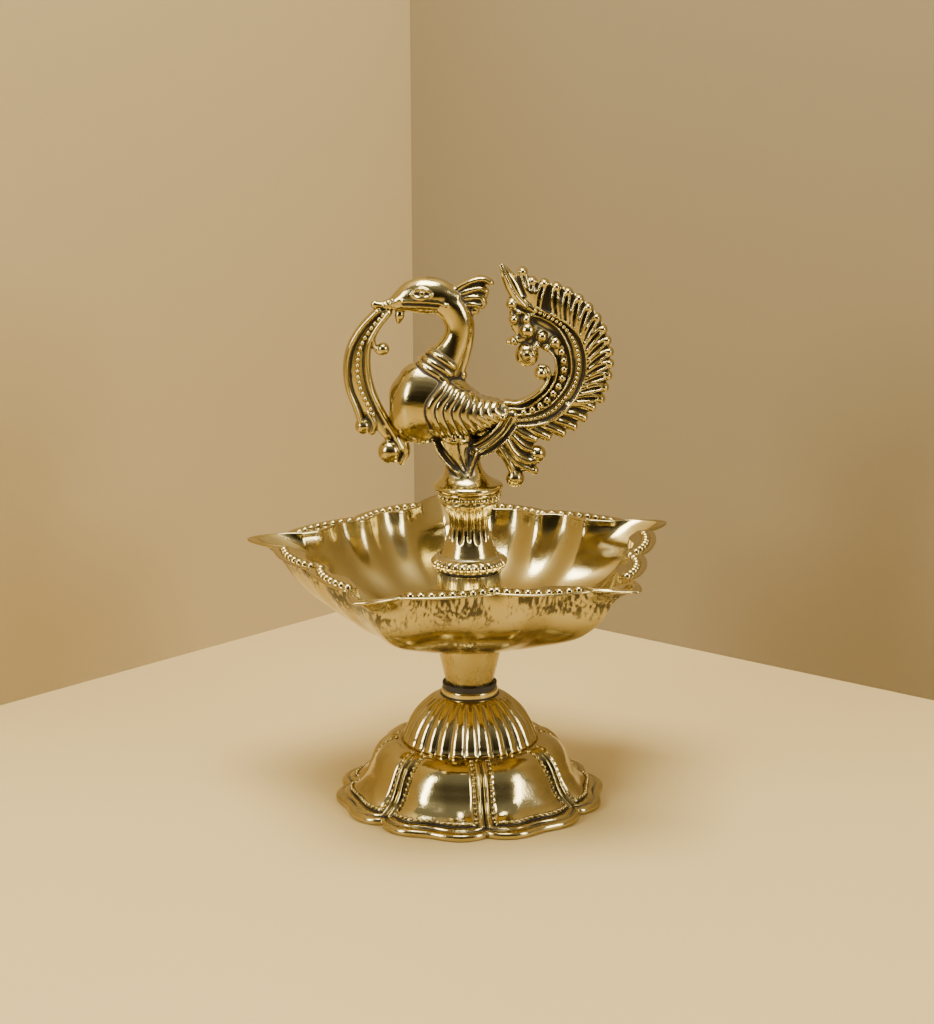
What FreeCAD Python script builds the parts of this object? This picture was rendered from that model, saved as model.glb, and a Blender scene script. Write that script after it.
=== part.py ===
import FreeCAD, Part
import math
import os

import Sketcher

from FreeCAD import Placement, Rotation, Vector

# A cast brass oil lamp: a lotus foot, a bowl with five wick spouts, a fluted pillar and a swan.
# Millimetres, +Z up. The origin is on the lamp's axis, at the height of the surface it stands on.
# The swan looks along -X. Every piece is set on the one below it, so heights add up from the floor.

SIZES = [
    # alias, value, what it is
    ("foot_height", 37.0, "floor to the top of the foot's neck"),
    ("petal_rim_radius", 44.0, "axis to the widest part of a petal's rim"),
    ("petal_dent", 2.7, "how far the middle of a petal's rim draws in"),
    ("petal_notch", 3.8, "how far the rim draws in between two petals"),
    ("petal_rim_height", 2.6, "thickness of the rolled rim on the floor"),
    ("petal_height", 19.6, "floor to the shoulder of the petals"),
    ("petal_swell", 2.2, "how far a petal's panel stands out from the groove beside it"),
    ("petal_foot_radius", 39.6, "petal panel just above the rim"),
    ("petal_shoulder_radius", 23.4, "petal panel at the shoulder"),
    ("petal_count", 7, "number of petals"),
    ("petal_turn", 46.1, "direction of the first petal's middle, degrees from +X"),
    ("foot_wall", 2.4, "wall of the hollow foot"),
    ("dome_radius", 21.9, "fluted dome at its lower edge"),
    ("dome_drop", 0.4, "how far the dome's edge lies below the petals' shoulder"),
    ("flute_depth", 0.9, "depth of the dome's flutes"),
    ("flutes_per_petal", 4, "dome flutes above one petal"),
    ("neck_radius", 9.1, "ring on top of the dome"),
    ("neck_height", 2.2, "height of that ring"),
    ("neck_floor", 5.0, "solid metal under the top of the neck"),
    ("thread_radius", 4.0, "both threaded studs"),
    ("thread_clearance", 0.06, "gap all round between a stud and the piece that unscrews from it"),
    ("fixed_clearance", 0.03, "gap all round between a stud and the piece that it is fixed in"),
    ("foot_stud_length", 24.5, "stud that joins foot and bowl"),
    ("foot_stud_reach", 11.5, "how far that stud stands above the foot's neck"),
    ("washer_slip", 0.3, "gap all round between a stud and a metal washer"),
    ("seal_slip", 0.4, "gap all round between a stud and a sealing ring"),
    ("nut_wall", 2.5, "nut inside the foot, from its thread to a flat"),
    ("nut_height", 5.0, "height of that nut"),
    ("foot_nut_washer_radius", 8.4, "washer above the nut"),
    ("foot_nut_washer_thickness", 1.2, "its thickness"),
    ("neck_washer_radius", 8.8, "rubber ring between foot and bowl"),
    ("neck_washer_thickness", 1.7, "its thickness"),
    ("stem_height", 12.8, "turned cone under the bowl"),
    ("stem_foot_radius", 7.6, "cone at its lower end"),
    ("stem_top_radius", 10.6, "cone where it meets the bowl"),
    ("spigot_wall", 2.6, "spigot that centres the cone in the bowl, from its bore outwards"),
    ("stem_spigot_height", 3.0, "height of that spigot"),
    ("bowl_height", 32.5, "underside of the bowl to its rim"),
    ("spout_radius", 73.0, "axis to the point of a spout"),
    ("bowl_side_radius", 55.2, "axis to the notch half way between two spouts"),
    ("bowl_wall", 1.8, "wall of the bowl"),
    ("flange_thickness", 1.2, "flat beaded edge round the bowl"),
    ("flange_overhang", 4.6, "how far that edge stands out from the wall"),
    ("spout_overhang", 2.2, "the same at the sides of a spout"),
    ("spout_count", 5, "number of spouts"),
    ("spout_turn", 26.3, "direction of the first spout, degrees from +X"),
    ("boss_radius", 10.4, "boss in the middle of the bowl"),
    ("boss_height", 24.5, "underside of the bowl to the top of the boss"),
    ("pillar_washer_radius", 9.4, "sealing ring on the boss"),
    ("pillar_washer_thickness", 0.8, "its thickness"),
    ("pillar_height", 25.8, "fluted pillar, both collars included"),
    ("pillar_collar_radius", 12.3, "its lower beaded collar"),
    ("pillar_foot_radius", 10.0, "spool above the lower collar"),
    ("pillar_waist_radius", 6.3, "its narrowest place"),
    ("pillar_head_radius", 9.2, "spool below the upper collar"),
    ("pillar_cap_radius", 10.4, "its upper beaded collar"),
    ("pillar_stud_length", 26.0, "stud that joins bowl and pillar"),
    ("pillar_stud_reach", 12.0, "how far that stud stands out below the pillar"),
    ("spigot_radius", 3.0, "swan's spigot, fixed in the top of the pillar"),
    ("spigot_height", 6.0, "its height"),
    ("swan_height", 72.4, "seat of the swan to the tip of its tail"),
    ("plinth_radius", 11.3, "disc that the swan stands on"),
    ("swan_body_depth", 19.0, "swan's body from side to side"),
    ("swan_neck_depth", 8.0, "its neck from side to side"),
    ("swan_head_depth", 9.6, "its head from side to side"),
    ("tail_thickness", 5.2, "tail from side to side"),
    ("scroll_thickness", 6.0, "strand in the beak and tuft under the tail, from side to side"),
]

# The height that the swan's outlines below are drawn at; they grow with swan_height.
SWAN_DRAWN_HEIGHT = 72.4

document = FreeCAD.newDocument("oil_lamp")
sheet = document.addObject("Spreadsheet::Sheet", "Sizes")
for row, (alias, number, meaning) in enumerate(SIZES, start=1):
    sheet.set(f"A{row}", meaning)
    sheet.set(f"B{row}", str(number))
    sheet.setAlias(f"B{row}", alias)
document.recompute()


def value(alias):
    """A driving size, read from the sheet."""
    return float(sheet.get(alias))


def size(*terms):
    """A sum of named sizes, as an expression for a sketch and as a number. A leading - subtracts."""
    text, number = "", 0.0
    for term in terms:
        sign = "-" if term.startswith("-") else "+"
        alias = term.lstrip("-")
        text += f" {sign} Sizes.{alias}"
        number += -value(alias) if sign == "-" else value(alias)
    return text.strip(" +"), number


ZERO = ("0", 0.0)

# Heights of the seats, from the floor up: each is the sum of the pieces below it.
NECK_WASHER_SEAT = size("foot_height")
STEM_SEAT = size("foot_height", "neck_washer_thickness")
BOWL_SEAT = size("foot_height", "neck_washer_thickness", "stem_height")
PILLAR_WASHER_SEAT = size("foot_height", "neck_washer_thickness", "stem_height", "boss_height")
PILLAR_SEAT = size("foot_height", "neck_washer_thickness", "stem_height", "boss_height",
                   "pillar_washer_thickness")
SWAN_SEAT = size("foot_height", "neck_washer_thickness", "stem_height", "boss_height",
                 "pillar_washer_thickness", "pillar_height")


# ---------------------------------------------------------------- turned pieces

def origin_plane(body, role):
    return next(item for item in body.Origin.OriginFeatures if item.Role == role)


def bind(sketch, constraint, name, expression):
    """Add a constraint to a sketch and tie its size to the sheet."""
    index = sketch.addConstraint(constraint)
    sketch.renameConstraint(index, name)
    sketch.setExpression(f"Constraints.{name}", expression)


def closed_profile(sketch, corners):
    """Straight lines through corners, each corner a pair of sizes (radius, height)."""
    places = [Vector(radius[1], height[1], 0) for radius, height in corners]
    count = len(places)
    for i in range(count):
        sketch.addGeometry(Part.LineSegment(places[i], places[(i + 1) % count]), False)
    for i in range(count):
        sketch.addConstraint(Sketcher.Constraint("Coincident", i, 2, (i + 1) % count, 1))
    for i, (radius, height) in enumerate(corners):
        if radius is ZERO:
            sketch.addConstraint(Sketcher.Constraint("PointOnObject", i, 1, -2))
        else:
            across = Sketcher.Constraint("DistanceX", -1, 1, i, 1, radius[1])
            bind(sketch, across, f"radius_{i}", radius[0])
        if height is ZERO:
            sketch.addConstraint(Sketcher.Constraint("PointOnObject", i, 1, -1))
        else:
            up = Sketcher.Constraint("DistanceY", -1, 1, i, 1, height[1])
            bind(sketch, up, f"height_{i}", height[0])


def turned_body(label, seat, corners):
    """A body made on a lathe: a closed profile turned round the lamp's axis."""
    body = document.addObject("PartDesign::Body", label)
    sketch = body.newObject("Sketcher::SketchObject", f"{label}_profile")
    sketch.AttachmentSupport = [(origin_plane(body, "XZ_Plane"), "")]
    sketch.MapMode = "FlatFace"
    document.recompute()
    closed_profile(sketch, corners)
    turn = body.newObject("PartDesign::Revolution", f"{label}_turning")
    turn.Profile = sketch
    turn.ReferenceAxis = (sketch, ["V_Axis"])
    turn.Angle = 360.0
    body.Tip = turn
    body.setExpression("Placement.Base.z", seat[0])
    document.recompute()
    return body


def washer(label, seat, slip):
    """A flat ring round a stud. Its label begins the names of its radius and thickness in the sheet."""
    bore = size("thread_radius", slip)
    radius, thick = size(f"{label}_radius"), size(f"{label}_thickness")
    return turned_body(label, seat, [(bore, ZERO), (radius, ZERO), (radius, thick), (bore, thick)])


def stud(label, seat, length):
    radius, top = size("thread_radius"), size(length)
    return turned_body(label, seat, [(ZERO, ZERO), (radius, ZERO), (radius, top), (ZERO, top)])


def bowl_stem():
    """Cone under the bowl, bored for the foot's stud, with a spigot that centres it in the bowl."""
    bore = size("thread_radius", "thread_clearance")
    top = size("stem_height")
    tip = size("stem_height", "stem_spigot_height")
    spigot = size("thread_radius", "spigot_wall")
    return turned_body("bowl_stem", STEM_SEAT, [
        (bore, ZERO), (size("stem_foot_radius"), ZERO), (size("stem_top_radius"), top),
        (spigot, top), (spigot, tip), (bore, tip)])


def foot_nut():
    """Hexagon nut that clamps the stud from inside the hollow foot."""
    body = document.addObject("PartDesign::Body", "foot_nut")
    sketch = body.newObject("Sketcher::SketchObject", "foot_nut_profile")
    sketch.AttachmentSupport = [(origin_plane(body, "XY_Plane"), "")]
    sketch.MapMode = "FlatFace"
    document.recompute()
    corner = 2 * (value("thread_radius") + value("nut_wall")) / math.sqrt(3)
    places = [Vector(corner * math.cos(math.radians(60 * k)),
                     corner * math.sin(math.radians(60 * k)), 0) for k in range(6)]
    for k in range(6):
        sketch.addGeometry(Part.LineSegment(places[k], places[(k + 1) % 6]), False)
    for k in range(6):
        sketch.addConstraint(Sketcher.Constraint("Coincident", k, 2, (k + 1) % 6, 1))
    circle = sketch.addGeometry(Part.Circle(Vector(0, 0, 0), Vector(0, 0, 1), corner), True)
    sketch.addConstraint(Sketcher.Constraint("Coincident", circle, 3, -1, 1))
    for k in range(6):
        sketch.addConstraint(Sketcher.Constraint("PointOnObject", k, 1, circle))
    for k in range(5):
        sketch.addConstraint(Sketcher.Constraint("Equal", k, k + 1))
    sketch.addConstraint(Sketcher.Constraint("PointOnObject", 0, 1, -1))
    bind(sketch, Sketcher.Constraint("Radius", circle, corner), "corner_radius",
         "2 * (Sizes.thread_radius + Sizes.nut_wall) / sqrt(3)")
    pad = body.newObject("PartDesign::Pad", "foot_nut_pad")
    pad.Profile = sketch
    pad.setExpression("Length", "Sizes.nut_height")
    bore_radius = value("thread_radius") + value("fixed_clearance")
    bore = body.newObject("Sketcher::SketchObject", "foot_nut_bore")
    bore.AttachmentSupport = [(origin_plane(body, "XY_Plane"), "")]
    bore.MapMode = "FlatFace"
    document.recompute()
    hole = bore.addGeometry(Part.Circle(Vector(0, 0, 0), Vector(0, 0, 1), bore_radius), False)
    bore.addConstraint(Sketcher.Constraint("Coincident", hole, 3, -1, 1))
    bind(bore, Sketcher.Constraint("Radius", hole, bore_radius), "bore_radius",
         "Sizes.thread_radius + Sizes.fixed_clearance")
    pocket = body.newObject("PartDesign::Pocket", "foot_nut_thread")
    pocket.Profile = bore
    pocket.Type = "ThroughAll"
    pocket.Midplane = True
    body.Tip = pocket
    body.setExpression("Placement.Base.z", "Sizes.foot_height - Sizes.neck_floor"
                       " - Sizes.foot_nut_washer_thickness - Sizes.nut_height")
    document.recompute()
    return body


# ---------------------------------------------------------------- cast pieces

def polar(radius, degrees, height):
    angle = math.radians(degrees)
    return Vector(radius * math.cos(angle), radius * math.sin(angle), height)


def spline_edge(points):
    curve = Part.BSplineCurve()
    curve.interpolate(points)
    return curve.toShape()


def loft(wires):
    return Part.makeLoft(wires, True, False)


def cylinder(radius, height, base):
    return Part.makeCylinder(radius, height, Vector(0, 0, base))


def lathe(points):
    """A solid turned from straight lines through (radius, height) points."""
    wire = Part.makePolygon([Vector(r, 0, z) for r, z in points + points[:1]])
    return Part.Face(wire).revolve(Vector(0, 0, 0), Vector(0, 0, 1), 360)


def cast_piece(label, shape):
    """Put a casting's shape into the document under its own name."""
    feature = document.addObject("Part::Feature", label)
    feature.Shape = shape
    feature.Placement = Placement()
    return feature


def petal_outline(height, middle, lobe, notch):
    """One closed outline of all petals: two lobes each, a dent between them, a notch at each end."""
    count = int(value("petal_count"))
    half = 180.0 / count
    share = [(-1, notch), (-0.78, notch + 0.72 * (lobe - notch)), (-0.5, lobe),
             (-0.22, middle + 0.4 * (lobe - middle)), (0, middle)]
    share += [(-place, radius) for place, radius in reversed(share[:-1])]
    edges = []
    for k in range(count):
        centre = value("petal_turn") + 2 * half * k
        edges.append(spline_edge([polar(r, centre + half * place, height) for place, r in share]))
    return Part.Wire(edges)


def flute_outline(height, radius, depth):
    """A ring of outward arcs, one for each flute of the dome."""
    count = int(value("petal_count")) * int(value("flutes_per_petal"))
    step = 360.0 / count
    first = value("petal_turn")
    edges = []
    for k in range(count):
        start = first + step * k
        ends = [polar(radius - depth, start, height), polar(radius, start + step / 2, height),
                polar(radius - depth, start + step, height)]
        edges.append(Part.Arc(*ends).toShape())
    return Part.Wire(edges)


def lotus_foot():
    rim, dent, notch = value("petal_rim_radius"), value("petal_dent"), value("petal_notch")
    low, top = value("petal_rim_height"), value("petal_height")
    swell, wall, depth = value("petal_swell"), value("foot_wall"), value("flute_depth")
    outer, shoulder = value("petal_foot_radius"), value("petal_shoulder_radius")
    edge = Part.Face(petal_outline(0, rim - dent, rim, rim - notch)).extrude(Vector(0, 0, low))

    # share of the height above the rim, share of the way from the foot radius to the shoulder's
    curve = [(0, 0), (0.15, 0.27), (0.42, 0.45), (0.69, 0.62), (0.91, 0.82), (1, 1)]
    panels = []
    for up, along in curve:
        radius = outer + (shoulder - outer) * along
        height = low + (top - low) * up
        panels.append(petal_outline(height, radius, radius - 0.25 * swell, radius - swell))
    petals = loft(panels)

    neck, foot = value("neck_radius"), value("foot_height")
    base = value("dome_radius")
    dome_low, dome_top = top - value("dome_drop"), foot - value("neck_height")
    swells = [(0, 1, 1), (0.1, 0.97, 1), (0.28, 0.83, 0.9), (0.56, 0.61, 0.8), (0.85, 0.35, 0.6),
              (1, 0, 0.3)]
    domes = [flute_outline(dome_low + (dome_top - dome_low) * up, neck + (base - neck) * out,
                           depth * cut) for up, out, cut in swells]
    body = edge.fuse([petals, loft(domes), cylinder(neck, foot - dome_top + 0.5, dome_top - 0.5)])

    ceiling = foot - value("neck_floor")
    thread = value("thread_radius") + value("fixed_clearance")
    seat = value("foot_nut_washer_radius") + 1.0
    groove = swell + wall
    hollow = lathe([(0, -1), (outer - groove, -1), (outer - groove, low),
                    (outer + (shoulder - outer) * 0.4 - groove, low + (top - low) * 0.3),
                    (outer + (shoulder - outer) * 0.75 - groove, low + (top - low) * 0.78),
                    (base - depth - wall - 1.2, top), (seat + 2.4, ceiling - 4.0),
                    (seat, ceiling), (0, ceiling)])
    return cast_piece("lotus_foot", body.cut([hollow, cylinder(thread, foot, 1)]))


def bowl_outline(height, spout, side, point, inset=0.0, spout_inset=0.0):
    """Closed outline of the bowl. point is 1 for sharp spouts and 0 for five soft swellings; the two
    insets move the outline in, square to itself, along the sides and at the spouts."""
    count = int(value("spout_count"))
    half = 180.0 / count
    # share of the way from a spout to the notch beside it: how much of the spout is left there
    sharp = [(0, 1), (0.12, 0.74), (0.21, 0.46), (0.32, 0.4), (0.5, 0.34), (0.68, 0.24),
             (0.84, 0.135), (1, 0)]
    flank = []
    for place, reach in sharp:
        soft = (0.5 + 0.5 * math.cos(math.pi * place)) ** 1.5
        reach = point * reach + (1 - point) * soft
        flank.append((half * place, side + (spout - side) * reach))
    flat = [polar(radius, degrees, 0) for degrees, radius in flank]
    moved = []
    for i, place in enumerate(flat):
        run = flat[min(i + 1, len(flat) - 1)] - flat[max(i - 1, 0)]
        out = Vector(run.y, -run.x, 0).normalize()
        share = min(1.0, flank[i][0] / (0.45 * half))
        shift = spout_inset + (inset - spout_inset) * share
        if i in (0, len(flat) - 1):
            along = polar(1, flank[i][0], 0)
            moved.append(place - along * (shift / max(0.55, abs(along.dot(out)))))
        else:
            moved.append(place - out * shift)
    edges = []
    for k in range(count):
        for mirror in (1, -1):
            points = [Vector(p.x, mirror * p.y, height) for p in moved]
            if mirror == -1:
                points.reverse()
            edge = spline_edge(points)
            turn = value("spout_turn") + 2 * half * (k if mirror == 1 else k + 1)
            edge.rotate(Vector(0, 0, 0), Vector(0, 0, 1), turn)
            edges.append(edge)
    return Part.Wire(edges)


def bowl():
    seat, tall = BOWL_SEAT[1], value("bowl_height")
    spout, side = value("spout_radius"), value("bowl_side_radius")
    wall, lip = value("bowl_wall"), value("flange_thickness")
    over, spout_over = value("flange_overhang"), value("spout_overhang")
    stem = value("stem_top_radius")
    rim = seat + tall
    edge = Part.Face(bowl_outline(rim - lip, spout, side, 1)).extrude(Vector(0, 0, lip))

    # share of the height, share of the spout's and the side's reach beyond the stem, sharpness
    curve = [(0, 0, 0, 0), (0.08, 0.115, 0.13, 0), (0.17, 0.3, 0.31, 0.1), (0.27, 0.5, 0.47, 0.2),
             (0.36, 0.62, 0.58, 0.35), (0.53, 0.76, 0.74, 0.55), (0.76, 0.85, 0.89, 0.8)]

    def reach(share, radius):
        return stem + (radius - stem) * share

    def shell(inset, spout_inset, lift):
        wires = [bowl_outline(seat + lift + (tall - lip - lift) * up, reach(far, spout),
                              reach(near, side), point, inset, inset)
                 for up, far, near, point in curve]
        return wires + [bowl_outline(rim - lip, spout, side, 1, inset + over, spout_inset)]

    outside = loft(shell(0.0, spout_over, 0.0))
    inside = shell(wall * 0.75, spout_over + wall * 0.6, wall)
    mouth = Part.Face(inside[-1]).extrude(Vector(0, 0, 3 * lip))
    boss = cylinder(value("boss_radius"), value("boss_height"), seat)
    basin = outside.fuse(edge).cut(loft(inside).fuse(mouth))
    spigot = cylinder(value("thread_radius") + value("spigot_wall") + value("fixed_clearance"),
                      value("stem_spigot_height") + value("fixed_clearance"), seat)
    reach_down = value("pillar_stud_reach") + 1.0
    thread = cylinder(value("thread_radius") + value("thread_clearance"), reach_down,
                      seat + value("boss_height") - reach_down)
    solid = basin.fuse(boss).cut([spigot, thread])
    return cast_piece("five_spout_bowl", solid)


def pillar():
    seat, tall = PILLAR_SEAT[1], value("pillar_height")
    collar, cap = value("pillar_collar_radius"), value("pillar_cap_radius")
    foot, waist, head = (value("pillar_foot_radius"), value("pillar_waist_radius"),
                         value("pillar_head_radius"))
    collar_top, cap_low = 0.13 * tall, 0.9 * tall
    spool = Part.BSplineCurve()
    spool.interpolate([Vector(foot, 0, seat + collar_top),
                       Vector(waist + 0.35 * (foot - waist), 0, seat + 0.32 * tall),
                       Vector(waist, 0, seat + 0.56 * tall),
                       Vector(waist + 0.3 * (head - waist), 0, seat + 0.74 * tall),
                       Vector(head, 0, seat + cap_low)])
    corners = [(head, cap_low), (cap, cap_low + 0.03 * tall), (cap, 0.98 * tall),
               (cap - 0.6, tall), (0, tall), (0, 0), (collar - 0.8, 0), (collar, 0.035 * tall),
               (collar, 0.095 * tall), (foot, collar_top)]
    outline = Part.makePolygon([Vector(r, 0, seat + z) for r, z in corners])
    face = Part.Face(Part.Wire([spool.toShape()] + outline.Edges))
    solid = face.revolve(Vector(0, 0, 0), Vector(0, 0, 1), 360)
    gap = value("fixed_clearance")
    inner = value("pillar_stud_length") - value("pillar_stud_reach") - value("pillar_washer_thickness")
    thread = cylinder(value("thread_radius") + gap, inner + 0.5, seat)
    socket = cylinder(value("spigot_radius") + gap, value("spigot_height") + 0.3,
                      seat + tall - value("spigot_height") - 0.3)
    return cast_piece("fluted_pillar", solid.cut([thread, socket]))


# ---------------------------------------------------------------- the swan
# Places on the swan are (forward-to-back, height above its seat) in millimetres, seen from its
# left side, at SWAN_DRAWN_HEIGHT.

TAIL_OUTLINE = [(10.5, 20.5), (17.5, 16.8), (25.5, 15.6), (31.5, 18.0), (37.5, 22.5), (41.5, 26.5),
                (44.5, 31.5), (46.0, 39.0), (45.5, 48.0), (43.5, 54.5), (39.0, 60.0), (34.0, 63.8),
                (25.0, 67.2), (19.0, 68.5), (16.5, 70.5), (10.2, 71.8), (11.2, 66.0), (12.0, 62.0),
                (12.6, 56.0), (14.5, 51.3), (14.3, 45.0), (17.0, 40.5), (21.5, 43.5), (24.8, 43.0),
                (25.2, 38.5), (22.5, 33.5), (17.5, 29.0), (10.5, 28.2)]
CREST_OUTLINE = [(-8.0, 60.5), (-5.5, 64.5), (-1.0, 66.8), (4.0, 69.0), (7.4, 66.8), (6.5, 62.5),
                 (5.5, 59.0), (2.0, 57.2), (-3.0, 58.0)]
NECK_LINE = [(-11.5, 37.0), (-6.5, 42.5), (-3.3, 48.5), (-3.8, 54.5), (-7.5, 59.5), (-12.0, 61.5)]
STRAND_LINE = [(-26.5, 59.0), (-31.8, 50.0), (-34.3, 41.0), (-33.4, 32.0), (-29.8, 24.5),
               (-26.4, 18.4), (-24.4, 12.4)]
CURL_LINE = [(-27.0, 54.0), (-29.6, 49.5), (-28.8, 46.0), (-26.5, 45.2)]
TUFT_LINES = [[(9.0, 19.0), (11.5, 11.0), (15.2, 4.3)], [(14.0, 19.0), (17.5, 13.5), (22.2, 11.6)],
              [(12.0, 16.0), (15.5, 10.0), (21.0, 6.6)]]
BALLS = [(-32.4, 20.4, 3.2), (-24.6, 11.4, 4.0), (-26.5, 45.4, 2.3), (-2.3, 36.8, 1.8),
         (23.0, 11.6, 3.4), (21.5, 6.3, 2.3), (15.6, 3.8, 3.3), (18.2, 43.0, 4.6)]


def swan():
    scale = value("swan_height") / SWAN_DRAWN_HEIGHT
    seat = SWAN_SEAT[1]

    def at(forward, up, side=0.0):
        return Vector(forward * scale, side, seat + up * scale)

    def plate(outline, thickness):
        curve = Part.BSplineCurve()
        curve.interpolate([at(x, z, -thickness / 2) for x, z in outline], PeriodicFlag=True)
        return Part.Face(Part.Wire(curve.toShape())).extrude(Vector(0, thickness, 0))

    def ring(centre, along, half_width, half_depth):
        """A closed oval square to along: half_width in the swan's own plane, half_depth out of it."""
        across = Vector(-along.z, 0, along.x)
        turns = [math.tau * k / 8 for k in range(8)]
        curve = Part.BSplineCurve()
        curve.interpolate([centre + across * (half_width * math.cos(turn))
                           + Vector(0, half_depth * math.sin(turn), 0) for turn in turns],
                          PeriodicFlag=True)
        return Part.Wire(curve.toShape())

    def egg(centre, length, height, depth, tilt=0.0):
        """An egg lofted through ovals from one blunt end to the other."""
        along = Rotation(Vector(0, 1, 0), tilt).multVec(Vector(1, 0, 0))
        ovals = []
        for k in range(9):
            turn = math.pi * (0.06 + 0.88 * k / 8)
            middle = at(*centre) - along * (length * scale / 2 * math.cos(turn))
            share = math.sin(turn)
            ovals.append(ring(middle, along, height * scale / 2 * share, depth / 2 * share))
        return loft(ovals)

    def limb(line, width, depth):
        """A bar of oval section along a line."""
        curve = Part.BSplineCurve()
        curve.interpolate([at(x, z) for x, z in line])
        first, last = curve.FirstParameter, curve.LastParameter
        ovals = []
        for k in range(9):
            spot = first + (last - first) * k / 8
            along = curve.tangent(spot)[0]
            ovals.append(ring(curve.value(spot), along, width * scale / 2, depth / 2))
        return loft(ovals)

    body_depth, scroll = value("swan_body_depth"), value("scroll_thickness")
    disc, disc_height = value("plinth_radius"), 2.6 * scale
    plinth = cylinder(disc, disc_height, seat)
    flare = [Part.Wire(Part.makeCircle(radius, at(x, z), Vector(0, 0, 1)))
             for x, z, radius in ((0, 2.5, disc - 1.0), (-0.4, 5.0, 7.4), (-1.2, 9.5, 5.2),
                                  (-3.0, 15.0, 6.2), (-5.0, 19.0, 7.4))]
    spigot = cylinder(value("spigot_radius"), value("spigot_height") + 1.0,
                      seat - value("spigot_height"))
    pieces = [
        loft(flare), spigot,
        egg((-12.0, 27.8), 27.0, 25.5, body_depth),
        egg((0.5, 24.5), 27.0, 15.0, 0.62 * body_depth, -8.0),
        limb(NECK_LINE, 8.2, value("swan_neck_depth")),
        egg((-13.6, 62.8), 17.5, 10.4, value("swan_head_depth")),
        egg((-23.0, 60.4), 15.0, 4.4, 0.6 * value("swan_head_depth"), -4.0),
        egg((-22.2, 56.2), 3.6, 5.6, 3.4),
        plate(CREST_OUTLINE, 0.6 * value("tail_thickness")),
        plate(TAIL_OUTLINE, value("tail_thickness")),
        limb(STRAND_LINE, 7.2, scroll),
        limb(CURL_LINE, 2.4, 0.5 * scroll),
    ]
    pieces += [limb(line, 4.6, scroll) for line in TUFT_LINES]
    for x, z, radius in BALLS:
        pieces.append(Part.makeSphere(radius * scale, at(x, z)))
    return cast_piece("swan", plinth.fuse(pieces))


# ---------------------------------------------------------------- assembly

def build():
    """Every piece of the lamp, from the floor up."""
    foot_stud_seat = size("foot_height", "foot_stud_reach", "-foot_stud_length")
    nut_washer_seat = size("foot_height", "-neck_floor", "-foot_nut_washer_thickness")
    pillar_stud_seat = size("foot_height", "neck_washer_thickness", "stem_height", "boss_height",
                            "-pillar_stud_reach")
    return [
        lotus_foot(),
        stud("foot_stud", foot_stud_seat, "foot_stud_length"),
        washer("foot_nut_washer", nut_washer_seat, "washer_slip"),
        foot_nut(),
        washer("neck_washer", NECK_WASHER_SEAT, "seal_slip"),
        bowl_stem(),
        bowl(),
        washer("pillar_washer", PILLAR_WASHER_SEAT, "seal_slip"),
        stud("pillar_stud", pillar_stud_seat, "pillar_stud_length"),
        pillar(),
        swan(),
    ]


def write(pieces):
    document.recompute()
    broken = [item.Label for item in document.Objects
              if "Invalid" in item.State or "Error" in item.State]
    if broken:
        raise RuntimeError(f"not computed: {broken}")
    for piece in pieces:
        shape = piece.Shape
        if shape.isNull() or not shape.isValid() or len(shape.Solids) != 1:
            raise RuntimeError(f"{piece.Label} is not one valid solid: {len(shape.Solids)}")
    os.makedirs("parts", exist_ok=True)
    for piece in pieces:
        piece.Shape.exportStep(f"parts/{piece.Label}.step")
        box = piece.Shape.BoundBox
        print(f"{piece.Label}: {piece.Shape.Volume / 1000:.2f} cm3, z {box.ZMin:.2f} to {box.ZMax:.2f}")


write(build())
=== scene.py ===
# %% [markdown]
# # A brass oil lamp with a swan on top
#
# This lamp is a stack of castings: a hollow lotus foot, a short stem, a bowl with five spouts, a
# fluted pillar and a swan. Two hidden studs hold the stack together, so the bowl and the pillar
# unscrew. The frame below already knows where every piece sits and which body it moves with. What
# is left is the look: cast brass, polished on the high places and dark in the hollows.

# %% Load the frame
import math

import bpy
import numpy as np
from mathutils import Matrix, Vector


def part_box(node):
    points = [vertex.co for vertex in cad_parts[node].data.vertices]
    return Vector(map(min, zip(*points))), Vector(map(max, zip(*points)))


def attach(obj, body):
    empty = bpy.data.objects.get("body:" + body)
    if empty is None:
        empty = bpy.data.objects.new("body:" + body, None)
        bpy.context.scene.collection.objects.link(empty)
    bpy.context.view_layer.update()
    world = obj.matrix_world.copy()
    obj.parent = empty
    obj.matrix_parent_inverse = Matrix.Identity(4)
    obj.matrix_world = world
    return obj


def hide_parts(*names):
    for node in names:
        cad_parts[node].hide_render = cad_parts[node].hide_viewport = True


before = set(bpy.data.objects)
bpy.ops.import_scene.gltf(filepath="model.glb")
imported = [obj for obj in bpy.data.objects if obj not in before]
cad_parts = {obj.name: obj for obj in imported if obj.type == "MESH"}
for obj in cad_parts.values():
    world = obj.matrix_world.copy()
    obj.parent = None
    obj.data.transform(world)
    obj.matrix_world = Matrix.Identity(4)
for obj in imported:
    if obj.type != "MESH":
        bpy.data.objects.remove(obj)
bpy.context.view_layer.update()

print("pieces in the frame:", sorted(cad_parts))

# %% [markdown]
# ## Measures
#
# All shapes below are worked out in millimetres, because that is how a pattern maker would write
# them, and scaled to metres once, when a mesh is made. The seats of the pieces come from the
# frame's own boxes, so nothing has to be fitted by eye.

# %% Seats of the pieces
MM = 0.001


def heights(node):
    """Lowest and highest point of a piece of the frame, in millimetres."""
    low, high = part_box(node)
    return low[2] / MM, high[2] / MM


FOOT_TOP = heights("lotus_foot")[1]
BOWL_BASE, BOWL_TOP = heights("five_spout_bowl")
PILLAR_BASE, SWAN_SEAT = heights("fluted_pillar")
SWAN_TOP = heights("swan")[1]
SWAN_DRAWN = 72.6
print(f"foot to {FOOT_TOP:.1f}, bowl {BOWL_BASE:.1f} to {BOWL_TOP:.1f}, swan from {SWAN_SEAT:.1f}")

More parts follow.
